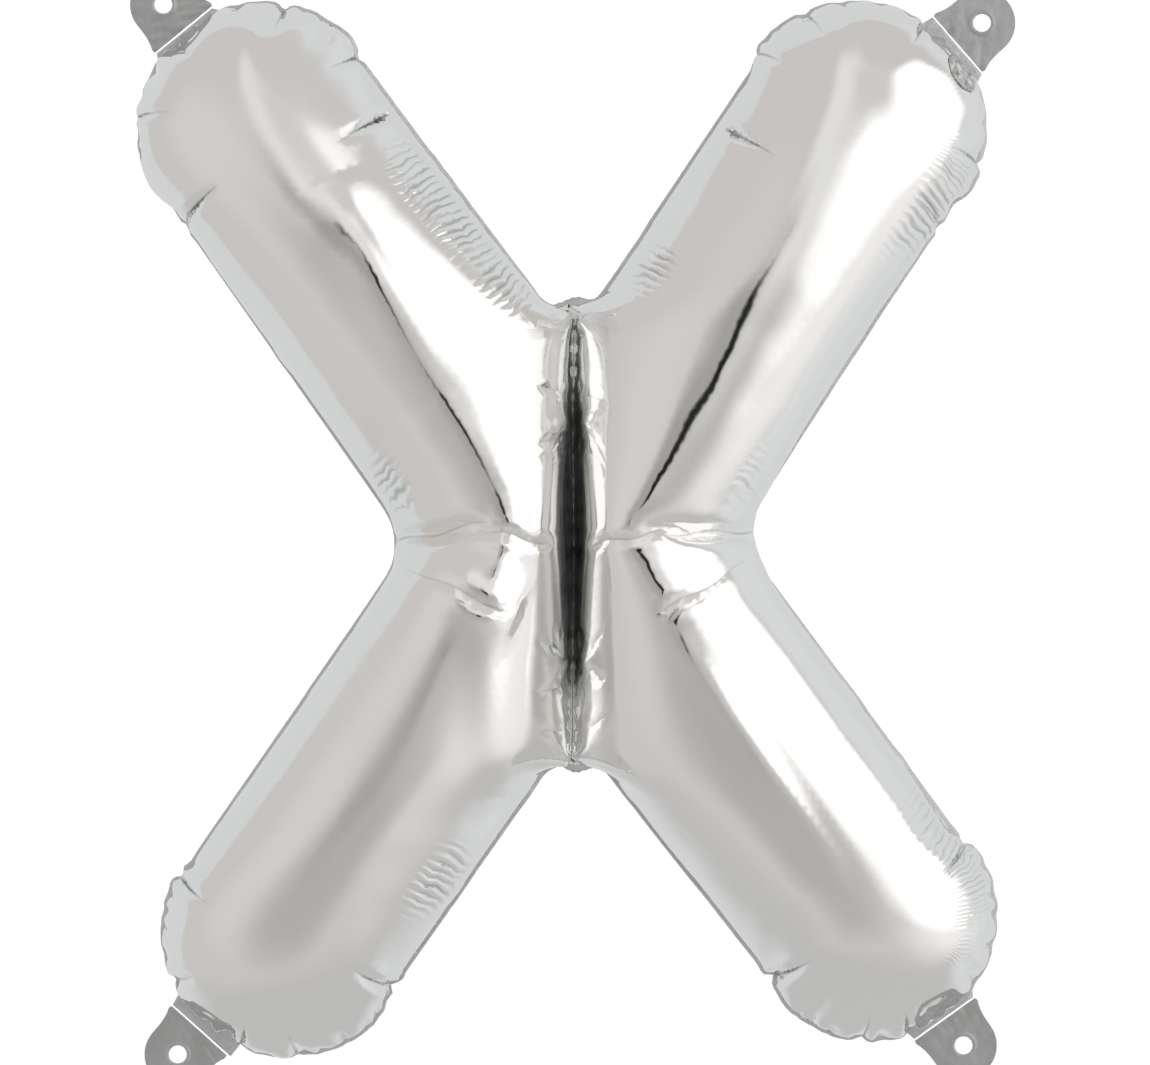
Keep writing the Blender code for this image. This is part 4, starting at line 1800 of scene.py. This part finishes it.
@dataclass
class Studio:
    """Soft studio light all round, a pale floor and the camera at the photograph's place."""

    place: Placement
    lens: float = 85.0
    sensor: float = 36.0
    floor_drop: float = 1.3
    floor_radius: float = 5.4
    white: float = 1.02  # how light the backdrop is to the eye
    wall: Panel = Panel(0, 0, 180, 90, 198, Tint.WARM)
    panels: tuple[Panel, ...] = (
        Panel(180, 0, 79, 90, 211, Tint.COOL, 0.05, 8.0),  # the wall behind the letter
        Panel(110, 0, 20, 60, 216, Tint.COOL, 0.4, 4.0),  # a lighter stretch on the right of it
        Panel(0, -80, 400, 40, 188, Tint.NEUTRAL, 0.25, 8.0),  # the floor
        Panel(-42, 5, 24, 24, 207, Tint.WARM, 0.6),  # a soft glow on the wall on the left
        Panel(-1, 28, 12, 32, 222, Tint.NEUTRAL, 0.4, 3.0),  # the light wall over the camera
        Panel(62, -14, 34, 19, 236, Tint.NEUTRAL, 0.6),  # the lamp's light on the floor
        Panel(50, 15, 41, 31, 262, Tint.NEUTRAL, 0.12),  # the large soft lamp
        Panel(14, 37, 13, 13, 204, Tint.WARM, 0.4, 3.0),  # a flag at its upper left corner
        Panel(-7, -13, 25, 15, 175, Tint.WARM, 0.7),  # the camera's stand
        Panel(-10, 5, 7.0, 12.0, 160, Tint.WARM, 0.8),  # the shade beside the camera
        Panel(-4.6, 4, 2.1, 8.0, 30, Tint.WARM, 0.5),  # the dark gap in it
    )

    def build(self) -> None:
        """Makes the light, the floor and the camera."""
        self.surroundings()
        self.floor()
        self.camera()
        bpy.context.scene.view_settings.view_transform = "Standard"

    def surroundings(self) -> None:
        """The light from all round: white to the eye, and soft lamps and walls in the foil."""
        world = bpy.data.worlds.new("studio")
        bpy.context.scene.world = world
        world.use_nodes = True
        world.node_tree.nodes.clear()
        bench = NodeBench(world.node_tree)
        way = bench.node("SeparateXYZ", Vector=bench.node("TexCoord").outputs["Generated"]).outputs
        azimuth = bench.maths("DEGREES", bench.maths("ARCTAN2", way[0], bench.times(way[1], -1.0)))
        elevation = bench.maths("DEGREES", bench.maths("ARCSINE", way[2]))
        light = self.wall.light()
        for panel in self.panels:
            aside = bench.maths("WRAP", bench.maths("SUBTRACT", azimuth, panel.azimuth), 180.0, -180.0)
            above = bench.maths("SUBTRACT", elevation, panel.elevation)
            power = panel.squareness
            parts = [
                bench.maths("POWER", bench.maths("DIVIDE", bench.maths("ABSOLUTE", off), half), power)
                for off, half in ((aside, panel.half_width), (above, panel.half_height))
            ]
            far = bench.maths("POWER", bench.maths("ADD", *parts), 1.0 / power)
            share = bench.span(far, 1 - panel.soft, 1 + panel.soft, 1.0, 0.0)
            share.node.interpolation_type = "SMOOTHSTEP"
            light = bench.mix(share, light, panel.light())
        seen = bench.node("Background", Color=(1.0, 1.0, 1.0), Strength=self.white).outputs[0]
        mirrored = bench.node("Background", Color=light).outputs[0]
        glossy = bench.node("LightPath").outputs["Is Glossy Ray"]
        chosen = bench.node("MixShader")
        for slot, value in zip(chosen.inputs, (glossy, seen, mirrored)):
            bench.feed(value, slot)
        bench.node("OutputWorld", Surface=chosen.outputs[0])

    def floor(self) -> None:
        """The pale floor, well below the hanging balloon, which the foil doesn't mirror."""
        only(None)
        spot = self.place.centre - Vector((0, 0, self.floor_drop))
        bpy.ops.mesh.primitive_circle_add(
            vertices=96, radius=self.floor_radius, fill_type="NGON", location=spot
        )
        floor = bpy.context.object
        floor.name = "studio_floor"
        floor.data.materials.append(FloorPaint().make("studio_floor"))
        floor.visible_glossy = False

    def camera(self) -> None:
        """The camera, level with the letter's centre and straight in front of it."""
        away = PHOTO_SIZE[0] * MM_PER_PIXEL * MM / self.sensor * self.lens
        spot = pixel_spot((PHOTO_SIZE[0] / 2, PHOTO_SIZE[1] / 2), self.place.centre)
        data = bpy.data.cameras.new("camera")
        data.lens, data.sensor_width = self.lens, self.sensor
        camera = bpy.data.objects.new("camera", data)
        camera.location = (spot.x, self.place.centre.y - away, spot.y)
        camera.rotation_euler = (math.pi / 2, 0, 0)
        bpy.context.scene.collection.objects.link(camera)
        bpy.context.scene.camera = camera


# Dark grey: partly the welded film's own duller tone, partly painted shade at the groove's bottom.
SHADED_CENTRE_WELD = CrinkledFoil((0.20, 0.21, 0.20), (0.3, 0.5), 0.08 * MM)


def main() -> None:
    """Builds every piece, the studio and the camera."""
    logging.basicConfig(level=logging.INFO, format="%(name)s: %(message)s")
    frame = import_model()
    place = Placement.from_frame(frame["joints"])
    Studio(place).build()

    creases = end_creases() + FOLDS + RIDGES + FLUTES + CRINKLES
    envelope = Envelope(place)
    envelope.blow_up(Inflation(), creases)
    films = {face: envelope.film(face, creases) for face in Face}
    for face, film in films.items():
        attach(film, "envelope", f"{face.name.lower()}_foil")
    attach(EdgeLip(envelope).make(), "envelope", "edge_weld")
    weld = frame["nodes"]["centre_weld"]
    # its dark tint partly stands in for shade at the groove's bottom
    weld.data.materials.clear()
    weld.data.materials.append(SHADED_CENTRE_WELD.make("centre_weld"))
    for seed, corner in enumerate(Corner):
        tab = HangingTab(corner, place, seed=seed).make()
        attach(tab, corner.tab_name, corner.tab_name)
    attach(FillingValve(place, films[Face.FRONT]).make(), "envelope", "filling_valve")


if __name__ == "__main__":
    main()
